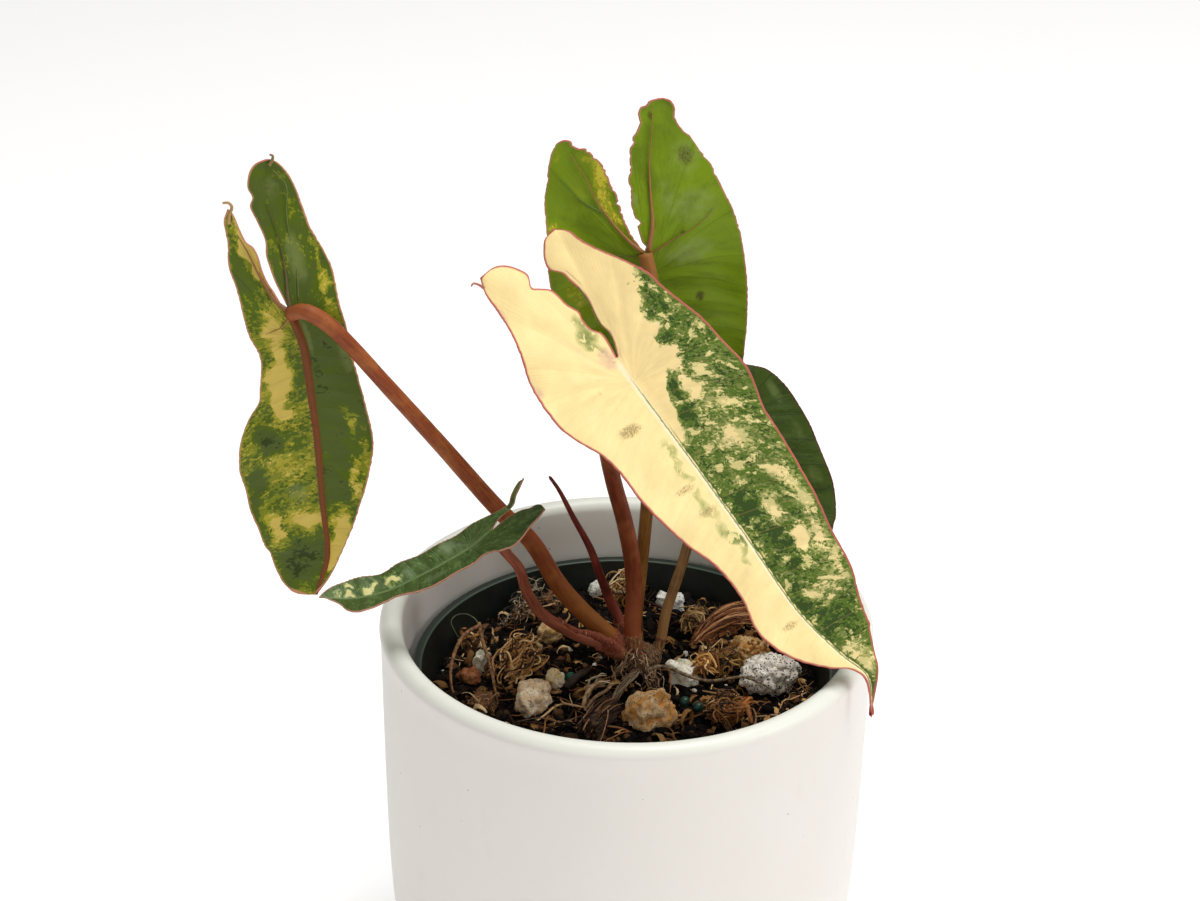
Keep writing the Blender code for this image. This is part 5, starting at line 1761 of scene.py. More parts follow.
    def build(self) -> None:
        """Builds the surface and all that lies loose on it."""
        self.build_surface()
        pick = random.Random(self.seed)
        husks = (Stuff.HUSK, Stuff.FIBRE)
        loose = (
            ("potting_crumbs", self.crumb_models, self.free_spots(self.crumbs, pick), (0.5, 2.0), 0.25, 60, CRUMBS),
            ("coir_fibres", self.fibre_models, self.free_spots(self.fibres, pick), (2.5, 8.5), -0.05, 25, COIR),
            ("husk_flakes", self.flake_models, self.free_spots(self.flakes, pick), (1.2, 3.4), 0.0, 50, FLAKES),
            ("husk_ribbons", self.ribbon_models, self.free_spots(self.ribbons, pick), (1.8, 5.6), 0.0, 80, RIBBONS),
            ("white_grains", self.crumb_models, self.free_spots(self.grains, pick), (0.35, 0.9), 0.0, 60, GRAINS),
            ("husk_frays", self.ribbon_models, self.lump_spots(16, pick, *husks), (1.5, 4.2), 0.15, 180, RIBBONS),
            ("husk_hairs", self.fibre_models, self.lump_spots(20, pick, *husks), (2.0, 6.0), 0.0, 120, COIR),
            ("rock_beads", self.crumb_models, self.lump_spots(90, pick, Stuff.ROCK), (0.5, 1.5), 0.2, 60, TAN_BEADS),
            ("white_beads", self.crumb_models, self.lump_spots(60, pick, Stuff.PERLITE), (0.5, 1.6), 0.3, 60, WHITE_BEADS),
        )
        for name, models, spots, sizes, sink, flat, finish in loose:
            bits = self.scatter(name, models(), spots, sizes, sink, flat)
            dress(bits, self.paint_bits(name, *finish))
            settle(bits)


@dataclass(frozen=True)
class Sheaf:
    """A bundle of strands that lie side by side: its middle line, its half widths, and the strands' make."""

    name: str
    route: tuple
    widths: tuple[tuple[float, float], tuple[float, float]]
    count: int
    radius: float
    colours: tuple[str, str, str]
    curl: float = 0.8
    crinkle: float = 4.0
    share: float = 0.9
    steps: int = 12
    seed: int = 1

    def strand(self, index: int, line: Path, pick: random.Random) -> tuple[list[Vector], list[float]]:
        """Lays one strand beside the middle line.

        Args:
            index: the strand's number.
            line: the middle line.
            pick: gives the strand its place, its length and its thickness.

        Returns:
            The strand's points and its radius at each.
        """
        angle = 2 * math.pi * pick.random()
        out = math.sqrt(pick.random())
        share = self.share * (0.7 + 0.3 * pick.random())
        begin = (1 - share) * pick.random()
        radius = self.radius * (0.6 + 0.8 * pick.random())
        points = []
        radii = []
        for step in range(self.steps + 1):
            t = begin + share * step / self.steps
            reach = t * line.length
            ahead = (line.at(reach + 1) - line.at(reach - 1)).normalized()
            side = ahead.cross(Vector((0, 0, 1))).normalized()
            up = side.cross(ahead)
            wide, tall = (a + (b - a) * t for a, b in zip(*self.widths))
            offset = side * (wide * out * math.cos(angle)) + up * (tall * out * math.sin(angle))
            wave = noise.noise_vector(Vector((reach / self.crinkle, 10.0 * index, self.seed))) * self.curl
            points.append(line.at(reach) + offset + wave)
            radii.append(radius * (1 - 0.7 * (step / self.steps) ** 4))
        return points, radii

    def build(self) -> None:
        """Builds the strands as thin tubes with a tone each, joined into one piece."""
        pick = random.Random(self.seed)
        line = Path(smooth_line(self.route))
        strands = []
        for index in range(self.count):
            points, radii = self.strand(index, line, pick)
            strand = tube("strand", points, radii, 5, False)
            tint = strand.data.attributes.new("tint", "FLOAT", "POINT")
            tint.data.foreach_set("value", [pick.random()] * len(strand.data.vertices))
            strands.append(strand)
        bundle = join(self.name, strands)
        weld(bundle)
        paint = Paint(self.name + " strands")
        dark, main, light = self.colours
        tint = paint.attribute("tint", "Fac")
        grains = paint.noise(paint.spot(), 0.9, 4.0, 0.65)
        colour = paint.mix(paint.step(tint, 0.15, 0.5), dark, main)
        colour = paint.grain(paint.mix(paint.step(tint, 0.6, 0.95), colour, light), grains, 0.5)
        dress(bundle, paint.finish(colour, 0.8, grains, 0.15))
        settle(bundle)


@dataclass
class LooseStrands:
    """Long fibres, husk ribbons, a twig and a dried strand that lie on the mix."""

    strands: tuple[tuple[str, tuple, float, tuple[str, str]], ...]

    def build(self) -> None:
        """Builds each strand as a thin tapered tube."""
        for name, route, radius, colours in self.strands:
            line = Path(smooth_line(route)).even(60)
            count = len(line) - 1
            radii = [radius * (1 - 0.6 * (i / count) ** 3) * (1 + 0.15 * noise.noise(line[i])) for i in range(count + 1)]
            obj = tube(name, line, radii, 10)
            paint = Paint(name + " skin")
            streaks = paint.noise(paint.spot(), 1.2, 4.0, 0.6)
            colour = paint.mix(paint.step(streaks, 0.35, 0.65), *colours)
            dress(obj, paint.finish(colour, 0.7, streaks, 0.1))
            settle(obj)


LUMPS = (
    Lump("stone_tan_front", Stuff.STONE, (8.0, -13.6, 113.0), (7.8, 6.2, 7.4), 10, 0.26, False, 1, ("70481E", "E2A052", "F2D0A0")),
    Lump("stone_two_lobed", Stuff.STONE, (-28.4, -6.2, 112.6), (7.4, 5.2, 6.0), 66, 0.20, False, 2, ("8A6844", "E4BE8E", "F8E6C8")),
    Lump("pebble_cream", Stuff.STONE, (-21.6, 4.0, 113.0), (3.0, 2.7, 3.9), 0, 0.10, False, 3, ("BC9050", "F6D48E", "FFF0D0")),
    Lump("perlite_speckled", Stuff.PERLITE, (44.8, 6.0, 114.4), (9.0, 6.4, 7.6), 15, 0.16, False, 4, ("786E64", "D6CCBE", "F2EADE")),
    Lump("rock_granular", Stuff.ROCK, (38.4, 19.8, 113.6), (6.6, 4.8, 5.6), -15, 0.24, False, 5, ("7A5228", "E0AA64", "F8D8A4")),
    Lump("chip_white_centre", Stuff.CHIP, (17.8, 8.6, 113.2), (5.4, 4.0, 4.8), -35, 0.24, True, 6, ("9A9070", "EAE2C4", "FAF6E6")),
    Lump("husk_chunk_centre", Stuff.HUSK, (26.8, 16.8, 113.0), (4.0, 3.8, 4.4), 35, 0.20, True, 7, ("6E4624", "BC8A50", "E2B678")),
    Lump("chip_white_back", Stuff.CHIP, (14.5, 50.5, 113.6), (5.8, 3.0, 3.2), -8, 0.24, True, 8, ("A29E90", "D8D6CC", "EEECE6")),
    Lump("chip_white_far", Stuff.CHIP, (-9.5, 55.5, 114.4), (2.6, 2.3, 3.1), 12, 0.22, False, 9, ("B0AEA0", "DEDDD0", "F0EFE6")),
    Lump("stone_tan_back", Stuff.STONE, (-23.5, 33.5, 112.2), (4.8, 4.0, 3.8), 40, 0.20, False, 10, ("785830", "D0A462", "EAC896")),
    Lump("chip_white_left", Stuff.CHIP, (-44.9, 13.4, 113.0), (3.4, 2.4, 4.0), 60, 0.24, True, 11, ("A09470", "E4DCBE", "F6F0DE")),
    Lump("stone_red_brown", Stuff.STONE, (-48.3, 7.2, 111.8), (3.9, 3.0, 2.6), -20, 0.16, False, 12, ("4A2814", "925430", "B47A50")),
    Lump("husk_chunk_left", Stuff.HUSK, (-31.0, 18.4, 112.6), (5.0, 4.6, 5.6), 25, 0.20, True, 13, ("5A3A1C", "AE7C44", "DCAC6C")),
    Lump("bark_dark", Stuff.BARK, (-7.2, -17.4, 112.4), (9.0, 4.0, 4.0), 56, 0.14, True, 14, ("1C1008", "4A2E1A", "8A6440")),
    Lump("husk_chunk_orange", Stuff.HUSK, (31.2, -11.6, 112.2), (6.4, 5.4, 4.6), 15, 0.20, True, 15, ("40240F", "A0622C", "D48C40")),
    Lump("fibre_bundle", Stuff.FIBRE, (31.0, 34.0, 112.0), (10.5, 2.6, 2.0), 43, 0.15, True, 16, ("5A3018", "B4723E", "DCA46C")),
    Lump("husk_clump_back_left", Stuff.HUSK, (-32.5, 41.5, 112.6), (4.4, 3.8, 4.4), 10, 0.20, True, 17, ("4A3626", "806850", "A89278")),
    Lump("husk_clump_back", Stuff.HUSK, (-23.0, 48.5, 113.2), (3.8, 3.4, 4.6), -25, 0.20, True, 18, ("4E3A2A", "887058", "B09A7C")),
    Lump("husk_ruffle", Stuff.HUSK, (1.0, 53.5, 113.6), (3.6, 3.2, 4.0), 50, 0.20, True, 19, ("6A4E30", "A98A5E", "CDB088")),
    Lump("husk_chunk_front_left", Stuff.HUSK, (-43.0, -8.5, 111.6), (4.8, 3.6, 3.4), 65, 0.20, True, 20, ("4A2E1A", "8A6038", "B08458")),
    Lump("husk_chunk_left_edge", Stuff.HUSK, (-48.6, 25.4, 111.8), (3.0, 3.8, 3.2), 20, 0.20, True, 21, ("3E2818", "78522E", "9A7448")),
)
PRILL_RADIUS = 1.75
PRILLS = {"prill_left": (-16.8, 8.0), "prill_right": (18.4, -4.6), "prill_right_front": (22.4, -7.4)}
PRILL_LIFT = {"prill_left": 1.3}
# The left prill has a lighter copy of the prills' green and the two right ones a darker copy: painted light and painted
# shade.
PRILL_LIT_COLOURS = {"prill_left": ("0C4C38", "14664C", "1E7A5C")}
PRILL_SHADED_COLOURS = ("06281E", "0C3A2C", "12483A")

STRANDS = (
    ("strap_left", ((-45.8, 19.3, 122.6), (-49.1, 16.6, 122.0), (-52.2, 10.1, 120.5), (-53.7, 2.9, 117.0), (-53.1, -3.1, 113.6), (-51.5, -5.6, 111.2)), 0.62, ("6A4226", "A8784A")),
    ("strap_right", ((-45.8, 20.4, 123.0), (-44.3, 14.1, 120.0), (-41.9, 7.4, 116.2), (-40.0, -1.5, 112.8), (-38.9, -6.8, 110.8)), 0.62, ("5E3C22", "A07446")),
    ("hair_loop", ((-45.5, 19.4, 122.5), (-47.5, 23.3, 123.0), (-50.4, 25.3, 123.2), (-53.5, 25.2, 122.5), (-54.7, 24.0, 121.0), (-53.7, 22.5, 119.0), (-51.8, 20.6, 116.5)), 0.18, ("3E4A30", "6A7450")),
    ("twig", ((6.3, 2.8, 117.5), (9.4, 4.1, 118.2), (12.5, 5.3, 117.5), (20.3, 2.9, 115.5), (25.8, 1.6, 115.0), (30.4, 0.4, 116.4), (35.3, -0.9, 118.2), (40.0, -5.6, 119.8), (44.6, -9.6, 119.4)), 0.55, ("3E2E20", "8E7656")),
    ("dark_twig", ((-18.5, 2.8, 111.0), (-14.5, 7.0, 112.8), (-10.2, 12.4, 112.0)), 1.3, ("1A100A", "4A3420")),
    ("long_hair", ((-6.4, -10.0, 113.5), (-5.2, -19.2, 116.5), (-6.3, -26.1, 114.5), (-7.5, -29.2, 112.5)), 0.22, ("8A5A38", "C08A60")),
    ("hair_bark", ((-13.1, -16.1, 113.0), (-19.7, -19.2, 112.8), (-25.8, -16.8, 112.5), (-33.3, -18.4, 112.0)), 0.2, ("4A2E1E", "7E5A40")),
    ("hair_root", ((13.5, 6.5, 116.0), (14.1, 2.6, 114.5), (13.8, -0.8, 112.0)), 0.25, ("7A4A2A", "A0683C")),
    ("husk_curl_a", ((-12.8, -10.7, 112.5), (-11.4, -6.5, 115.5), (-8.4, -2.9, 116.5), (-4.7, -0.9, 116.0)), 0.7, ("7A5A3A", "C2A074")),
    ("husk_curl_b", ((-12.2, -12.4, 112.5), (-8.9, -10.0, 116.0), (-5.6, -7.6, 117.0), (-3.8, -4.4, 117.2)), 0.6, ("6A4C30", "A8865C")),
    ("orange_shard", ((36.0, -7.3, 113.5), (37.3, -13.9, 114.5), (38.4, -17.8, 112.5)), 1.1, ("6E3A18", "B0702E")),
)

SHEAVES = (
    Sheaf(
        "husk_sheaf_left", ((-38.5, 5.0, 110.5), (-36, 10, 115.5), (-31.5, 15.5, 118), (-28, 20, 118.5)),
        ((4.0, 2.4), (5.2, 2.4)), 80, 0.26, ("42240E", "C08848", "F2CA8C"), 4.0, 3.6, 0.34, 12, 2,
    ),
    Sheaf(
        "husk_sheaf_low", ((-36, 3, 110.5), (-32, 7, 114.5), (-27.5, 10.5, 116.5), (-25, 14, 115.5)),
        ((2.6, 1.8), (3.5, 1.8)), 40, 0.26, ("4E2C12", "C48E4E", "F4CE92"), 3.6, 3.6, 0.4, 12, 3,
    ),
    Sheaf(
        "grey_husk_back", ((-38.5, 35.5, 110.5), (-35.5, 41.5, 115.5), (-31, 47, 118), (-26, 52, 118.5)),
        ((3.4, 2.2), (4.4, 2.4)), 70, 0.22, ("1E1812", "6E5E48", "B8A88C"), 4.4, 3.6, 0.28, 12, 4,
    ),
    Sheaf(
        "fibre_fan", ((20.5, 28, 111.5), (27, 32, 116.5), (33, 35, 118.5), (41, 38, 118)),
        ((0.8, 0.6), (7.5, 2.8)), 84, 0.16, ("56280F", "C07C46", "EEBC88"), 0.9, 6.0, 0.95, 12, 5,
    ),
    Sheaf(
        "paper_curls", ((-12.8, -3.6, 110.8), (-10.6, -1.4, 114), (-7.6, -0.8, 116), (-3.6, -0.8, 116.5)),
        ((0.8, 0.8), (2.6, 1.0)), 16, 0.26, ("8A6A4A", "C2A47C", "E8D6B6"), 2.6, 5.0, 0.6, 12, 6,
    ),
    Sheaf(
        "bark_fibres", ((-13, -24.5, 112), (-9.5, -19.5, 115.2), (-5.5, -14, 116.2), (-1.8, -9.5, 115.2)),
        ((3.4, 1.2), (3.0, 1.2)), 50, 0.24, ("1A0E06", "523218", "9A7248"), 0.7, 6.0, 0.6, 10, 7,
    ),
    Sheaf(
        "crown_paper_left", ((3, 11.5, 120.0), (0.5, 9, 118), (-1.5, 7, 115), (-2.5, 5, 111.5)),
        ((1.6, 1.0), (2.6, 1.6)), 34, 0.2, ("4A3220", "9A7450", "DCC2A0"), 3.2, 3.6, 0.4, 12, 8,
    ),
    Sheaf(
        "crown_paper_front", ((4.0, 11, 120), (6, 8, 117.5), (7.5, 5.5, 114.5), (9, 3, 111)),
        ((2.6, 1.0), (3.6, 1.8)), 60, 0.2, ("3E2818", "8E6A48", "D4B894"), 3.6, 3.6, 0.36, 12, 9,
    ),
    Sheaf(
        "old_sheath", ((-4.4, -6.4, 110.6), (-1.8, -3.4, 114.4), (1.2, -0.4, 116.6), (4.4, 3.4, 117.8)),
        ((0.9, 0.8), (1.5, 1.2)), 40, 0.26, ("3E3024", "7E6850", "BCA27C"), 0.6, 6.0, 0.5, 10, 10,
    ),
    Sheaf(
        "husk_ruffle_strands", ((-6, 56, 111.5), (-3, 57.5, 116), (1, 57, 118), (4, 55, 117)),
        ((2.6, 2.4), (3.0, 2.4)), 60, 0.26, ("5E4226", "CCA064", "F4DAA8"), 4.0, 3.4, 0.32, 12, 11,
    ),
    Sheaf(
        "husk_curls_centre", ((21.5, 8.5, 112.5), (23, 9, 116), (25.5, 8, 117), (27, 5.5, 114.5)),
        ((2.0, 1.6), (2.2, 1.8)), 50, 0.34, ("7E4C1C", "D89E50", "F6CE90"), 3.8, 3.2, 0.42, 12, 12,
    ),
    Sheaf(
        "husk_curls_back", ((18, 35, 111.5), (20.5, 37, 116), (23.5, 36.5, 118), (26.5, 34, 116)),
        ((2.6, 2.0), (3.0, 2.0)), 60, 0.26, ("3E2816", "BE9054", "F0D09A"), 4.0, 3.4, 0.34, 12, 13,
    ),
    Sheaf(
        "dark_husk_curls", ((26.5, -14.5, 111.5), (29, -11.5, 114.5), (32, -9.5, 115.5), (35.5, -9, 112)),
        ((3.4, 2.0), (3.6, 2.2)), 80, 0.26, ("140C06", "6A4422", "B88448"), 4.2, 3.4, 0.34, 12, 14,
    ),
    Sheaf(
        "orange_splinters", ((33.5, -13.5, 111.5), (35.5, -11, 114.5), (37.5, -9, 115.5), (39, -6.5, 113)),
        ((1.0, 0.8), (1.6, 1.0)), 9, 0.42, ("8A4A1C", "BE7028", "D89252"), 1.0, 6.0, 0.7, 10, 15,
    ),
    Sheaf(
        "brown_husk_right", ((27.5, 11.5, 110.5), (31, 13.5, 114.5), (34.5, 15, 115), (37, 15, 112)),
        ((2.6, 1.8), (2.8, 1.8)), 60, 0.26, ("241408", "8A6030", "CC9C5C"), 4.0, 3.4, 0.34, 12, 16,
    ),
)

STALK_LEFT = StalkFinish("left stalk skin", "94481E", "AE6A30", "74341A", "96502A", "92602A")
STALK_SMALL = StalkFinish("small stalk skin", "A0583E", "B46C4E", "7C3E2C", "7A4C30", "A8644E")
STALK_FRONT = StalkFinish("front stalk skin", "7E3818", "965830", "602810", "80422A", "94502E")
STALK_BACK = StalkFinish("back stalk skin", "96642A", "AE7E3A", "744A1A", "98602E", "96642A")
STALK_RIGHT = StalkFinish("right stalk skin", "946C40", "B2885A", "6C4C2A", "7C5A3A", "A4784A")
SPEAR_SKIN = StalkFinish("spear skin", "7A3024", "94483A", "551E16", "4E1E16", "8A4A34")

FRONT_UPPER = BladeFinish(
    name="front leaf upper side",
    pure="FBE1A0",
    tones=(
        Tone(0.29, "D8CC88", 4.0, 1.6, 0.24, 0.22, 0.03),
        Tone(0.43, "A5A662", 3.4, 1.6, 0.32, 0.34, 0.02),
        Tone(0.53, "7A8643", 2.8, 1.6, 0.38, 0.52, 0.02),
        Tone(0.63, "587026", 2.6, 1.5, 0.40, 0.95, 0.02),
        Tone(0.83, "384E1E", 3.0, 1.4, 0.46, 0.70, 0.02),
    ),
    vein="E2B878",
    vein_share=0.12,
    vein_relief=0.15,
    hair_share=0.11,
    rib="FDEDC2",
    rib_shift=0.7,
    rib_half=1.2,
    rib_core=0.2,
    rib_line="4A6434",
    margin="C0665C",
    margin_width=0.62,
    # On the front leaf this tone is the real green of the band along its right margin.
    stipple="9A8450",
    sheen_and_edge_green="5A7A1E",
    sheen_and_edge_share=0.75,
    islands=0.34,
    island_size=3.2,
    calm=0.72,
    island_tone="E6D892",
    smudge_share=0.34,
    mass=5.0,
    mass_sway=0.30,
    firm=0.22,
    speck=0.6,
)
FRONT_UNDER = BladeFinish(
    name="front leaf underside",
    pure="E8D49A",
    tones=(Tone(0.40, "C8C88A", 6.0, 1.5, 0.4, 0.1), Tone(0.55, "93A850", 3.0, 2.0, 0.5, 0.3), Tone(0.75, "6A8A3A", 3.0, 2.0, 0.5, 0.3)),
    vein="B08058",
    rib="9A5A38",
)
LEFT_UPPER = BladeFinish(
    name="left leaf upper side",
    pure="E2D488",
    tones=(Tone(0.25, "A8A848", 3.0, 3.0, 0.4, 0.2), Tone(0.45, "5F8A2E", 2.4, 3.0, 0.5, 0.3), Tone(0.7, "2F5528", 3.0, 2.0, 0.5, 0.3)),
    rib="D8D8A0",
)
LEFT_UNDER = BladeFinish(
    name="left leaf underside",
    pure="CDB456",
    tones=(
        Tone(0.24, "A89E30", 2.2, 2.6, 0.40, 0.35, 0.03),
        Tone(0.40, "7C821A", 1.8, 3.0, 0.55, 0.50, 0.03),
        Tone(0.58, "50620F", 2.0, 2.6, 0.55, 0.50, 0.03),
        Tone(0.80, "4E5C20", 6.0, 2.0, 0.40, 0.12, 0.10),
        Tone(1.13, "2E3C0A", 2.4, 2.0, 0.40, 0.40, 0.04),
    ),
    vein="56681A",
    vein_share=0.10,
    vein_gap=5.5,
    rib="74401E",
    rib_half=1.35,
    margin="C58A66",
    stipple="4A3A22",
    # Painted sheen: a greyish olive painted highlight.
    sheen_and_edge_green="868E58",
    sheen_and_edge_share=0.45,
    mass=5.0,
    mass_sway=0.30,
    firm=0.35,
)
BACK_UPPER = BladeFinish(
    name="back leaf upper side",
    pure="C8B83A",
    tones=(Tone(0.30, "8AA02A", 3.0, 3.0, 0.4, 0.2), Tone(0.45, "4F7A22", 3.0, 3.0, 0.5, 0.3), Tone(0.7, "3A6420", 6.0, 2.0, 0.4, 0.1)),
    rib="A8B868",
)
BACK_UNDER = BladeFinish(
    name="back leaf underside",
    pure="D6C83C",
    tones=(
        Tone(0.28, "A8AC24", 1.2, 2.5, 0.60, 0.70, 0.05),
        Tone(0.46, "86961A", 1.4, 2.5, 0.60, 0.60, 0.05),
        Tone(0.66, "7A9412", 7.0, 2.0, 0.25, 0.05, 0.12),
        Tone(0.98, "647A10", 5.0, 4.0, 0.60, 0.10, 0.20),
    ),
    vein="5C720E",
    vein_share=0.30,
    vein_gap=9.0,
    rib="9A6230",
    rib_half=1.2,
    margin="B8805E",
    stipple="4A3A14",
    # Painted sheen: a pale grey-green painted highlight.
    sheen_and_edge_green="96A664",
    sheen_and_edge_share=0.42,
)
RIGHT_UPPER = BladeFinish(
    name="right leaf upper side",
    pure="526022",
    tones=(Tone(0.3, "405218", 5.0, 3.0, 0.5, 0.1, 0.15), Tone(0.66, "2F3F10", 4.0, 3.0, 0.5, 0.2, 0.15)),
    vein="2C380C",
    vein_share=0.75,
    vein_gap=9.0,
    rib="6A7A34",
    margin="5A2416",
    # Painted sheen: paler glossy bands, a painted highlight.
    sheen_and_edge_green="76864A",
    sheen_and_edge_share=0.5,
)
RIGHT_UNDER = BladeFinish(
    name="right leaf underside",
    pure="6A8430",
    tones=(Tone(0.3, "5A7A2A", 5.0, 3.0, 0.5, 0.1, 0.15), Tone(0.6, "4A6A24", 4.0, 3.0, 0.5, 0.1, 0.15)),
    rib="8A5A34",
    margin="7A3A24",
)
SMALL_UPPER = BladeFinish(
    name="small leaf upper side",
    pure="D9D08C",
    tones=(
        Tone(0.26, "8E9C5C", 1.4, 1.5, 0.35, 0.30, 0.05),
        Tone(0.42, "586E38", 1.8, 1.5, 0.45, 0.35, 0.05),
        Tone(0.60, "445628", 3.0, 2.0, 0.40, 0.25, 0.08),
        Tone(0.80, "34461F", 4.0, 3.0, 0.60, 0.20, 0.12),
    ),
    vein="6A8A5A",
    vein_share=0.14,
    vein_gap=4.5,
    rib="687C4C",
    rib_half=0.5,
    margin="B5806A",
    margin_width=0.35,
    # Painted sheen: a pale painted highlight.
    sheen_and_edge_green="82946E",
    sheen_and_edge_share=0.45,
)
SMALL_UNDER = BladeFinish(
    name="small leaf underside",
    pure="B8B060",
    tones=(Tone(0.3, "8A9A4A", 3.0, 2.0, 0.4, 0.2), Tone(0.5, "6A7E30", 3.0, 2.0, 0.4, 0.2)),
    rib="8A5A40",
    rib_half=0.8,
    margin="B5806A",
    margin_width=0.35,
)


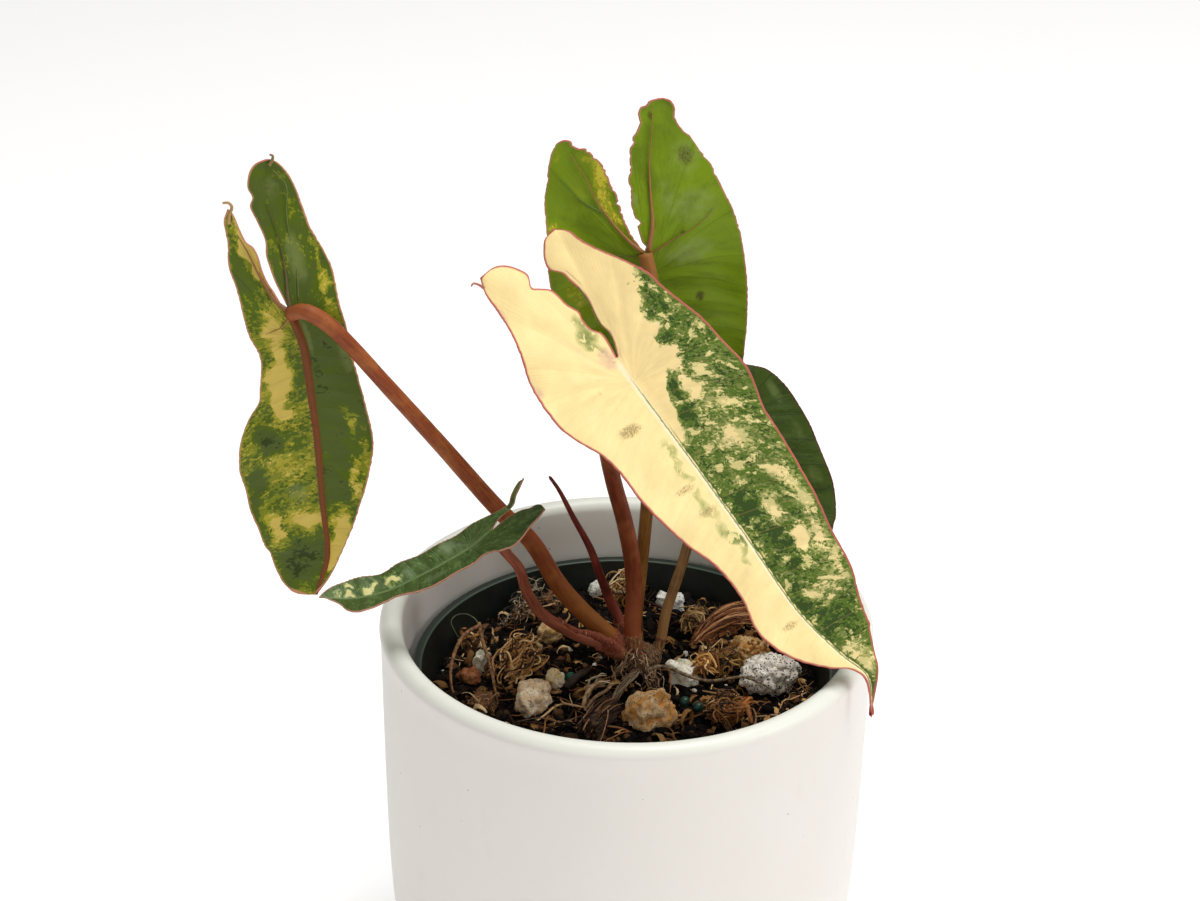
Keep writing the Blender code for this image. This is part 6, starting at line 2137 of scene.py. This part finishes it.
def make_blades() -> dict[str, Blade]:
    """Lists the five blades with their finishes, patches of green, stipples, blushes, painted sheen patches and raised
    veins.
    """
    front = Blade(
        FRONT,
        FRONT_UPPER,
        FRONT_UNDER,
        {+1: -0.1, -1: 0.70},
        patches=(
            Patch(-42, -8, 22, 16, -1.4),
            Patch(-22, -8, 14, 8.5, -1.4),
            Patch(-6, -5, 12, 9.5, -1.4),
            Patch(8, -4, 10, 7, -1.1),
            Patch(18, -2, 8, 4.6, -1.0),
            Patch(26, -1, 5.5, 2.6, -0.7),
            Patch(-6, -14.5, 3.4, 2.6, 0.50),
            Patch(3, -14, 3, 3, 0.35),
            Patch(15, -8.5, 3.6, 2.6, 0.75),
            Patch(24, -7, 4, 2.4, 0.45),
            Patch(-9, -19, 9, 1.6, 0.20, -8),
            Patch(9, -13, 4, 2.2, -0.70),
            Patch(19, -12.5, 4.4, 2.2, -0.65),
            Patch(19, -18, 3.4, 2.4, -0.22),
            Patch(27, -17.5, 4.6, 3, -0.26),
            Patch(33, -14, 7, 4, -0.16),
            Patch(37, -4, 4.4, 2, -0.36),
            Patch(38, -12, 4, 3, -0.30),
            Patch(49, -6.5, 3.4, 2, -0.45),
            Patch(44, -16, 6, 3, -0.30),
            Patch(56, -18.5, 7, 2.2, -0.35),
            Patch(61, -11.5, 5, 2.6, -0.50),
            Patch(73, -13.5, 4, 1.8, -0.80),
            Patch(76, -5, 2.4, 1.2, -0.40),
            Patch(72, -19, 14, 2.6, -0.32),
            Patch(90, -10, 4.5, 5, -0.32),
            Patch(88, -17, 10, 2.6, -0.26),
            Patch(112, -4, 5, 3.4, -0.34),
            Patch(40, -2.5, 6, 1.6, 0.20),
            Patch(55, -5, 8, 3.6, 0.30),
            Patch(72, -6.5, 9, 3, 0.34),
            Patch(90, -2.5, 8, 1.8, 0.30),
            Patch(101, -7, 7, 5, 0.22),
            Patch(-10, 2.4, 9, 3.6, 0.61, -8),
            Patch(31, 4.2, 7.0, 3.2, 0.54),
            Patch(40, 5.4, 5, 2.0, 0.42),
            Patch(49, 6.0, 6.0, 2.8, 0.54),
            Patch(59, 4.4, 5.0, 2.4, 0.56),
            Patch(67, 3.2, 7, 1.6, 0.52),
        ),
        stipples=(
            Patch(18.5, 10.5, 2.4, 5.0, 1.0, 12),
            Patch(42, 7.5, 1.8, 4.6, 0.8, 8),
            Patch(4.5, 11, 1.6, 1.2, 0.7),
            Patch(51, 5.6, 1.9, 4.6, 0.8, 8),
            Patch(92, 5.2, 1.7, 4.2, 0.8, 8),
            Patch(4, 8, 2, 1.4, 0.5),
            Patch(60, 12, 20, 3, 0.12),
        ),
        blushes=(
            Patch(-2, 2.4, 5, 3, 0.7),
            Patch(-7, 26, 3, 1.8, 0.6),
            Patch(-33, 21, 6, 2.0, 0.6),
            Patch(-10, 9, 9, 1.8, 0.4, -20),
        ),
        bright_edge={-1: 1.0},
        veins=(
            Vein(((-41.5, 20.0), (-43.4, 20.8), (-44.5, 21.8), (-44.3, 22.8)), (0.5, 0.25), False),
            Vein(((-34, -2.4), (-30, -3.4), (-26, -4.2), (-21, -4.6), (-15, -3.8), (-9, -3.4), (-4, -2.2)), (0.17, 0.13), False, ("D8957A", "C07A64")),
            Vein(((-24, -3.4), (-18, -3.2), (-12, -2.2), (-7, -2.6), (-1, -0.6)), (0.22, 0.18), False, ("3E5A1E", "5A6E2E")),
            Vein(((0, 1), (-3, 6), (-4, 12), (-8, 18)), (0.32, 0.08), False, ("E8C48C", "DDB884")),
            Vein(((0, -1), (-10, -7), (-20, -12), (-28, -13)), (0.30, 0.08), False, ("EED09A", "E6C690")),
        ),
        vein_colours=("C0705E", "9A5448"),
        tip_margin=0.04,
        fan=30.0,
        pucker=0.55,
        swell=1.3,
    )
    left = Blade(
        LEFT,
        LEFT_UPPER,
        LEFT_UNDER,
        {+1: 0.93, -1: 0.52},
        patches=(
            Patch(2, -6, 5, 3, -0.45),
            Patch(12, -7, 5, 2.4, -0.5),
            Patch(21, -9.5, 6, 2.8, -0.7),
            Patch(29, -9, 4, 1.8, -0.6),
            Patch(65, -5, 3, 5, -0.55),
            Patch(68, -14, 4, 3, -0.5),
            Patch(47, -12, 6, 9, -0.16),
            Patch(40, -14, 4, 4, 0.65),
            Patch(40, -5, 5, 5, 0.14),
            Patch(80, -7, 9, 7, 0.70),
            Patch(62, -19, 16, 2, 0.3),
            Patch(18, -3, 9, 1.8, 0.2),
            Patch(-14, -11, 13, 4.5, 0.3),
            Patch(-24, -7, 6, 2.2, -0.95),
            Patch(-16, -5, 4, 1.4, -0.8),
            Patch(55, 11, 8, 2, -0.75),
            Patch(70, 4, 7, 4, -0.95),
            Patch(78, 2, 6, 3, -0.8),
            Patch(38, 11, 5, 1.5, -0.5),
            Patch(-9, 12, 11, 1.4, -0.6),
            Patch(6, 11, 9, 3, -0.38),
            Patch(48, 14.5, 9, 1.5, -0.5),
            Patch(-22, 5, 20, 12, -0.16),
        ),
        stipples=(Patch(-31, -9, 1.5, 1, 1.2), Patch(1, 7, 1, 1, 0.8)),
        # Painted sheen patches: painted highlights on the underside.
        painted_sheens=(Patch(-15, 6, 9, 3, 0.9), Patch(14, 12, 9, 3, 0.8), Patch(8, 2, 8, 1.2, 0.8), Patch(-36, 5, 5, 3, 0.6), Patch(57, -7, 4, 4, 0.8)),
        veins=(
            Vein(((0, 0), (-5, -3.4), (-12.5, -5.6), (-20, -7.0), (-27, -8.6)), (0.85, 0.12)),
            Vein(((0, 0), (-5, 0.6), (-11, 1.8), (-22, 2.8), (-33, 2.6)), (0.85, 0.08), True, ("5E4A20", "4E4A1E")),
            Vein(((1, -0.5), (3, -4), (3.4, -9)), (0.45, 0.12), True, ("A8743A", "9A7434")),
            # A thin raised line along a fold, coloured paler than the blade: a real ridge with a painted highlight
            # along it.
            Vein(((-41, 7), (-36, 9.4), (-28, 7.2), (-20, 5.8), (-12, 5.4), (-3, 3.2)), (0.12, 0.16), True, ("6E7C40", "5E6C34")),
            Vein(((-42.5, 6.4), (-43.6, 7.6), (-44.8, 8.2), (-45.5, 7.5)), (0.65, 0.3), True, ("6A6A30", "8A6440")),
            Vein(((-29.5, -9.8), (-32, -8.8), (-34, -7.4), (-35.4, -8), (-35.8, -9.6)), (0.7, 0.35), True, ("B09A56", "A8704A")),
        ),
        rib_lift=0.1,
        vein_gap=5.5,
    )
    back = Blade(
        BACK,
        BACK_UPPER,
        BACK_UNDER,
        {+1: 0.9, -1: 0.9},
        patches=(
            Patch(-20, -8.3, 10, 2.6, -0.68),
            Patch(-11, -5.2, 5, 1.6, -0.6),
            Patch(-30, -10, 5, 3, -0.42),
            Patch(-22, -14.5, 2.5, 2, -0.25),
            Patch(-12, -26, 4, 3, -0.45),
            Patch(10, -22, 8, 5, -0.36),
            Patch(-33, -20, 3, 3, -0.3),
        ),
        stipples=(
            Patch(-25.7, 18, 4.5, 3.5, 0.8),
            Patch(19.5, 13.5, 2, 1.5, 1.1),
            Patch(-3, 12, 1.0, 0.8, 1.2),
            Patch(-39.5, 10, 2, 1.2, 0.9),
            Patch(10, 20, 22, 9, 0.18),
        ),
        # Painted sheen patches: painted highlights on the underside.
        painted_sheens=(
            Patch(-25.7, 18, 7, 6, 0.7),
            Patch(-10, 18, 8, 9, 0.7),
            Patch(3.5, 13, 5, 10, 0.8),
            Patch(-16, 0.5, 3, 1, 0.9),
            Patch(-18, 9, 10, 4, 0.45),
        ),
        veins=(
            Vein(
                ((0, 0.8), (-4, 2.6), (-8, 4), (-16.4, 5.3), (-20.5, 6), (-26, 7), (-33.5, 9.2), (-39, 10.6), (-42, 11.2)),
                (0.95, 0.1),
            ),
            Vein(((0, -0.5), (-3, -3), (-7, -5.6), (-13.5, -8.9), (-19.5, -11.2), (-25, -12.3), (-29.6, -14), (-33.5, -15.4)), (0.75, 0.1)),
            Vein(((1, 1), (-1.6, 8.3), (-3.5, 15), (-6, 19.8), (-8.6, 22.8)), (0.36, 0.1), True, ("8A5E2A", "6E5A1E")),
            Vein(((0.5, -1.5), (0.3, -5), (-1, -9)), (0.3, 0.1), True, ("7A6A22", "5E6A1A")),
            # A thin raised vein in a crease, coloured dark green: partly its own colour, partly painted shade in the
            # crease.
            Vein(((-14, -9.2), (-17.7, -13.8), (-21.3, -17), (-26.4, -20.7)), (0.26, 0.08), True, ("5E7416", "55701A")),
        ),
        vein_colours=("A87440", "8E5E2E"),
        rib_lift=0.1,
        nibble=1.6,
        vein_gap=9.0,
        pucker=0.8,
    )
    right = Blade(
        RIGHT,
        RIGHT_UPPER,
        RIGHT_UNDER,
        {+1: 0.6, -1: 0.6},
        # Painted sheen patches: glossy bands painted as highlights.
        painted_sheens=(Patch(8, -14, 6, 2, 0.8), Patch(22, -13, 5, 2.5, 0.6), Patch(36, -10, 5, 3, 0.6)),
        rib_lift=0.1,
        lean=0.5,
    )
    small = Blade(
        SMALL,
        SMALL_UPPER,
        SMALL_UNDER,
        {+1: 0.62, -1: 0.66},
        patches=(
            Patch(33, 3, 2.6, 1.6, -0.6),
            Patch(40, 3, 2.2, 1.6, -0.6),
            Patch(46, 1, 2.4, 1.2, -0.45),
            Patch(47, 4, 2, 1.2, -0.5),
            Patch(51, 2, 2, 1.5, -0.3),
        ),
        # Painted sheen patches: painted highlights on the upper side.
        painted_sheens=(Patch(14, 4, 4, 2.5, 0.9), Patch(28, 2, 4, 3, 0.7), Patch(6, 0, 4, 3, 0.6), Patch(21, -4, 5, 2, 0.6)),
        rib_lift=0.15,
        rib_thickness=1.4,
        vein_gap=4.5,
    )
    return {blade.shape.name: blade for blade in (front, left, back, right, small)}


def make_stalks(blades: dict[str, Blade]) -> list[Stalk]:
    """Lists the five leaf stalks and the new spear."""
    return [
        Stalk(
            "petiole_left",
            blades["leaf_left"],
            (
                (3.0, 16.5, 113.0), (-1.4, 15.0, 117.3), (-5.8, 12.5, 124.6), (-12.4, 10.5, 132.6),
                (-20.8, 9.0, 144.1), (-29.3, 8.0, 160.0), (-39.0, 7.0, 171.2), (-56.3, 4.0, 195.0),
                (-71.8, 0.0, 216.7), (-82.5, -3.0, 231.8), (-88.6, -4.7, 239.0), (-93.9, -5.2, 242.2),
            ),
            (3.0, 2.1),
            14.5,
            STALK_LEFT,
        ),
        Stalk(
            "petiole_small",
            blades["leaf_small"],
            (
                (3.0, 15.0, 112.5), (0.2, 13.0, 116.0), (-2.6, 9.0, 119.9), (-7.0, 5.5, 125.3), (-14.1, 4.0, 129.0),
                (-20.5, 2.0, 133.7), (-25.7, 0.0, 139.1), (-30.2, -3.0, 148.6), (-32.5, -6.0, 158.7),
                (-36.6, -8.0, 165.6),
            ),
            (2.2, 1.4),
            20.5,
            STALK_SMALL,
        ),
        Stalk(
            "petiole_front",
            blades["leaf_front"],
            (
                (5.0, 16.0, 112.0), (3.0, 14.2, 118.0), (2.1, 15.2, 123.5), (2.3, 18.0, 137.3), (1.5, 19.0, 147.5),
                (-1.2, 19.0, 161.6), (-4.8, 17.0, 176.6), (-7.1, 15.0, 189.7), (-7.3, 12.0, 203.1),
                (-6.3, 9.0, 212.9),
            ),
            (2.75, 2.3),
            12.0,
            STALK_FRONT,
        ),
        Stalk(
            "petiole_back",
            blades["leaf_back"],
            (
                (4.5, 20.0, 112.0), (3.3, 24.3, 121.0), (4.2, 27.0, 135.6), (5.2, 29.0, 148.9), (5.9, 30.0, 160.8),
                (6.4, 31.0, 179.6), (6.6, 31.8, 199.7), (6.4, 32.3, 219.5), (5.7, 32.4, 234.0),
            ),
            (2.0, 2.1),
            11.0,
            STALK_BACK,
        ),
        Stalk(
            "petiole_right",
            blades["leaf_right"],
            (
                (8.0, 18.5, 112.5), (10.4, 19.6, 115.8), (12.5, 21.0, 127.7), (14.8, 23.0, 135.3), (17.4, 25.0, 143.9),
                (22.2, 31.0, 162.3), (25.6, 35.0, 177.8), (27.5, 35.5, 188.7),
            ),
            (1.65, 1.65),
            8.0,
            STALK_RIGHT,
        ),
        Stalk(
            "new_leaf_spear",
            None,
            (
                (2.5, 20.0, 112.0), (-0.4, 22.5, 118.5), (-2.4, 24.0, 123.8), (-4.4, 24.0, 128.2), (-8.3, 23.0, 139.6),
                (-11.5, 22.0, 149.8), (-16.8, 20.0, 161.8), (-21.2, 18.0, 172.3), (-24.2, 17.0, 177.6),
            ),
            (2.0, 0.5),
            12.0,
            SPEAR_SKIN,
        ),
    ]


def main() -> None:
    """Builds the whole plant and its pots in order."""
    logging.basicConfig(level=logging.INFO, format="%(asctime)s %(message)s")
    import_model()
    Studio().build()
    OuterPot().build()
    nursery = NurseryPot()
    nursery.build()
    mix = PottingMix(nursery, LUMPS)
    mix.build()
    for lump in LUMPS:
        lump.build()
    for index, (name, (x, y)) in enumerate(PRILLS.items()):
        centre = (x, y, mix.height(x, y) + 0.5 * PRILL_RADIUS + PRILL_LIFT.get(name, 0.0))
        # Painted light and shade: the left prill takes the lighter copy of the green, the others the darker one.
        colours = PRILL_LIT_COLOURS.get(name, PRILL_SHADED_COLOURS)
        Lump(name, Stuff.PRILL, centre, (PRILL_RADIUS,) * 3, 0, 0.0, False, 30 + index, colours).build()
    LooseStrands(STRANDS).build()
    for sheaf in SHEAVES:
        sheaf.build()
    blades = make_blades()
    for blade in blades.values():
        blade.build()
    stalks = make_stalks(blades)
    for stalk in stalks:
        stalk.build()
    Crown(stalks).build()
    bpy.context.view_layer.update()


if __name__ == "__main__":
    main()
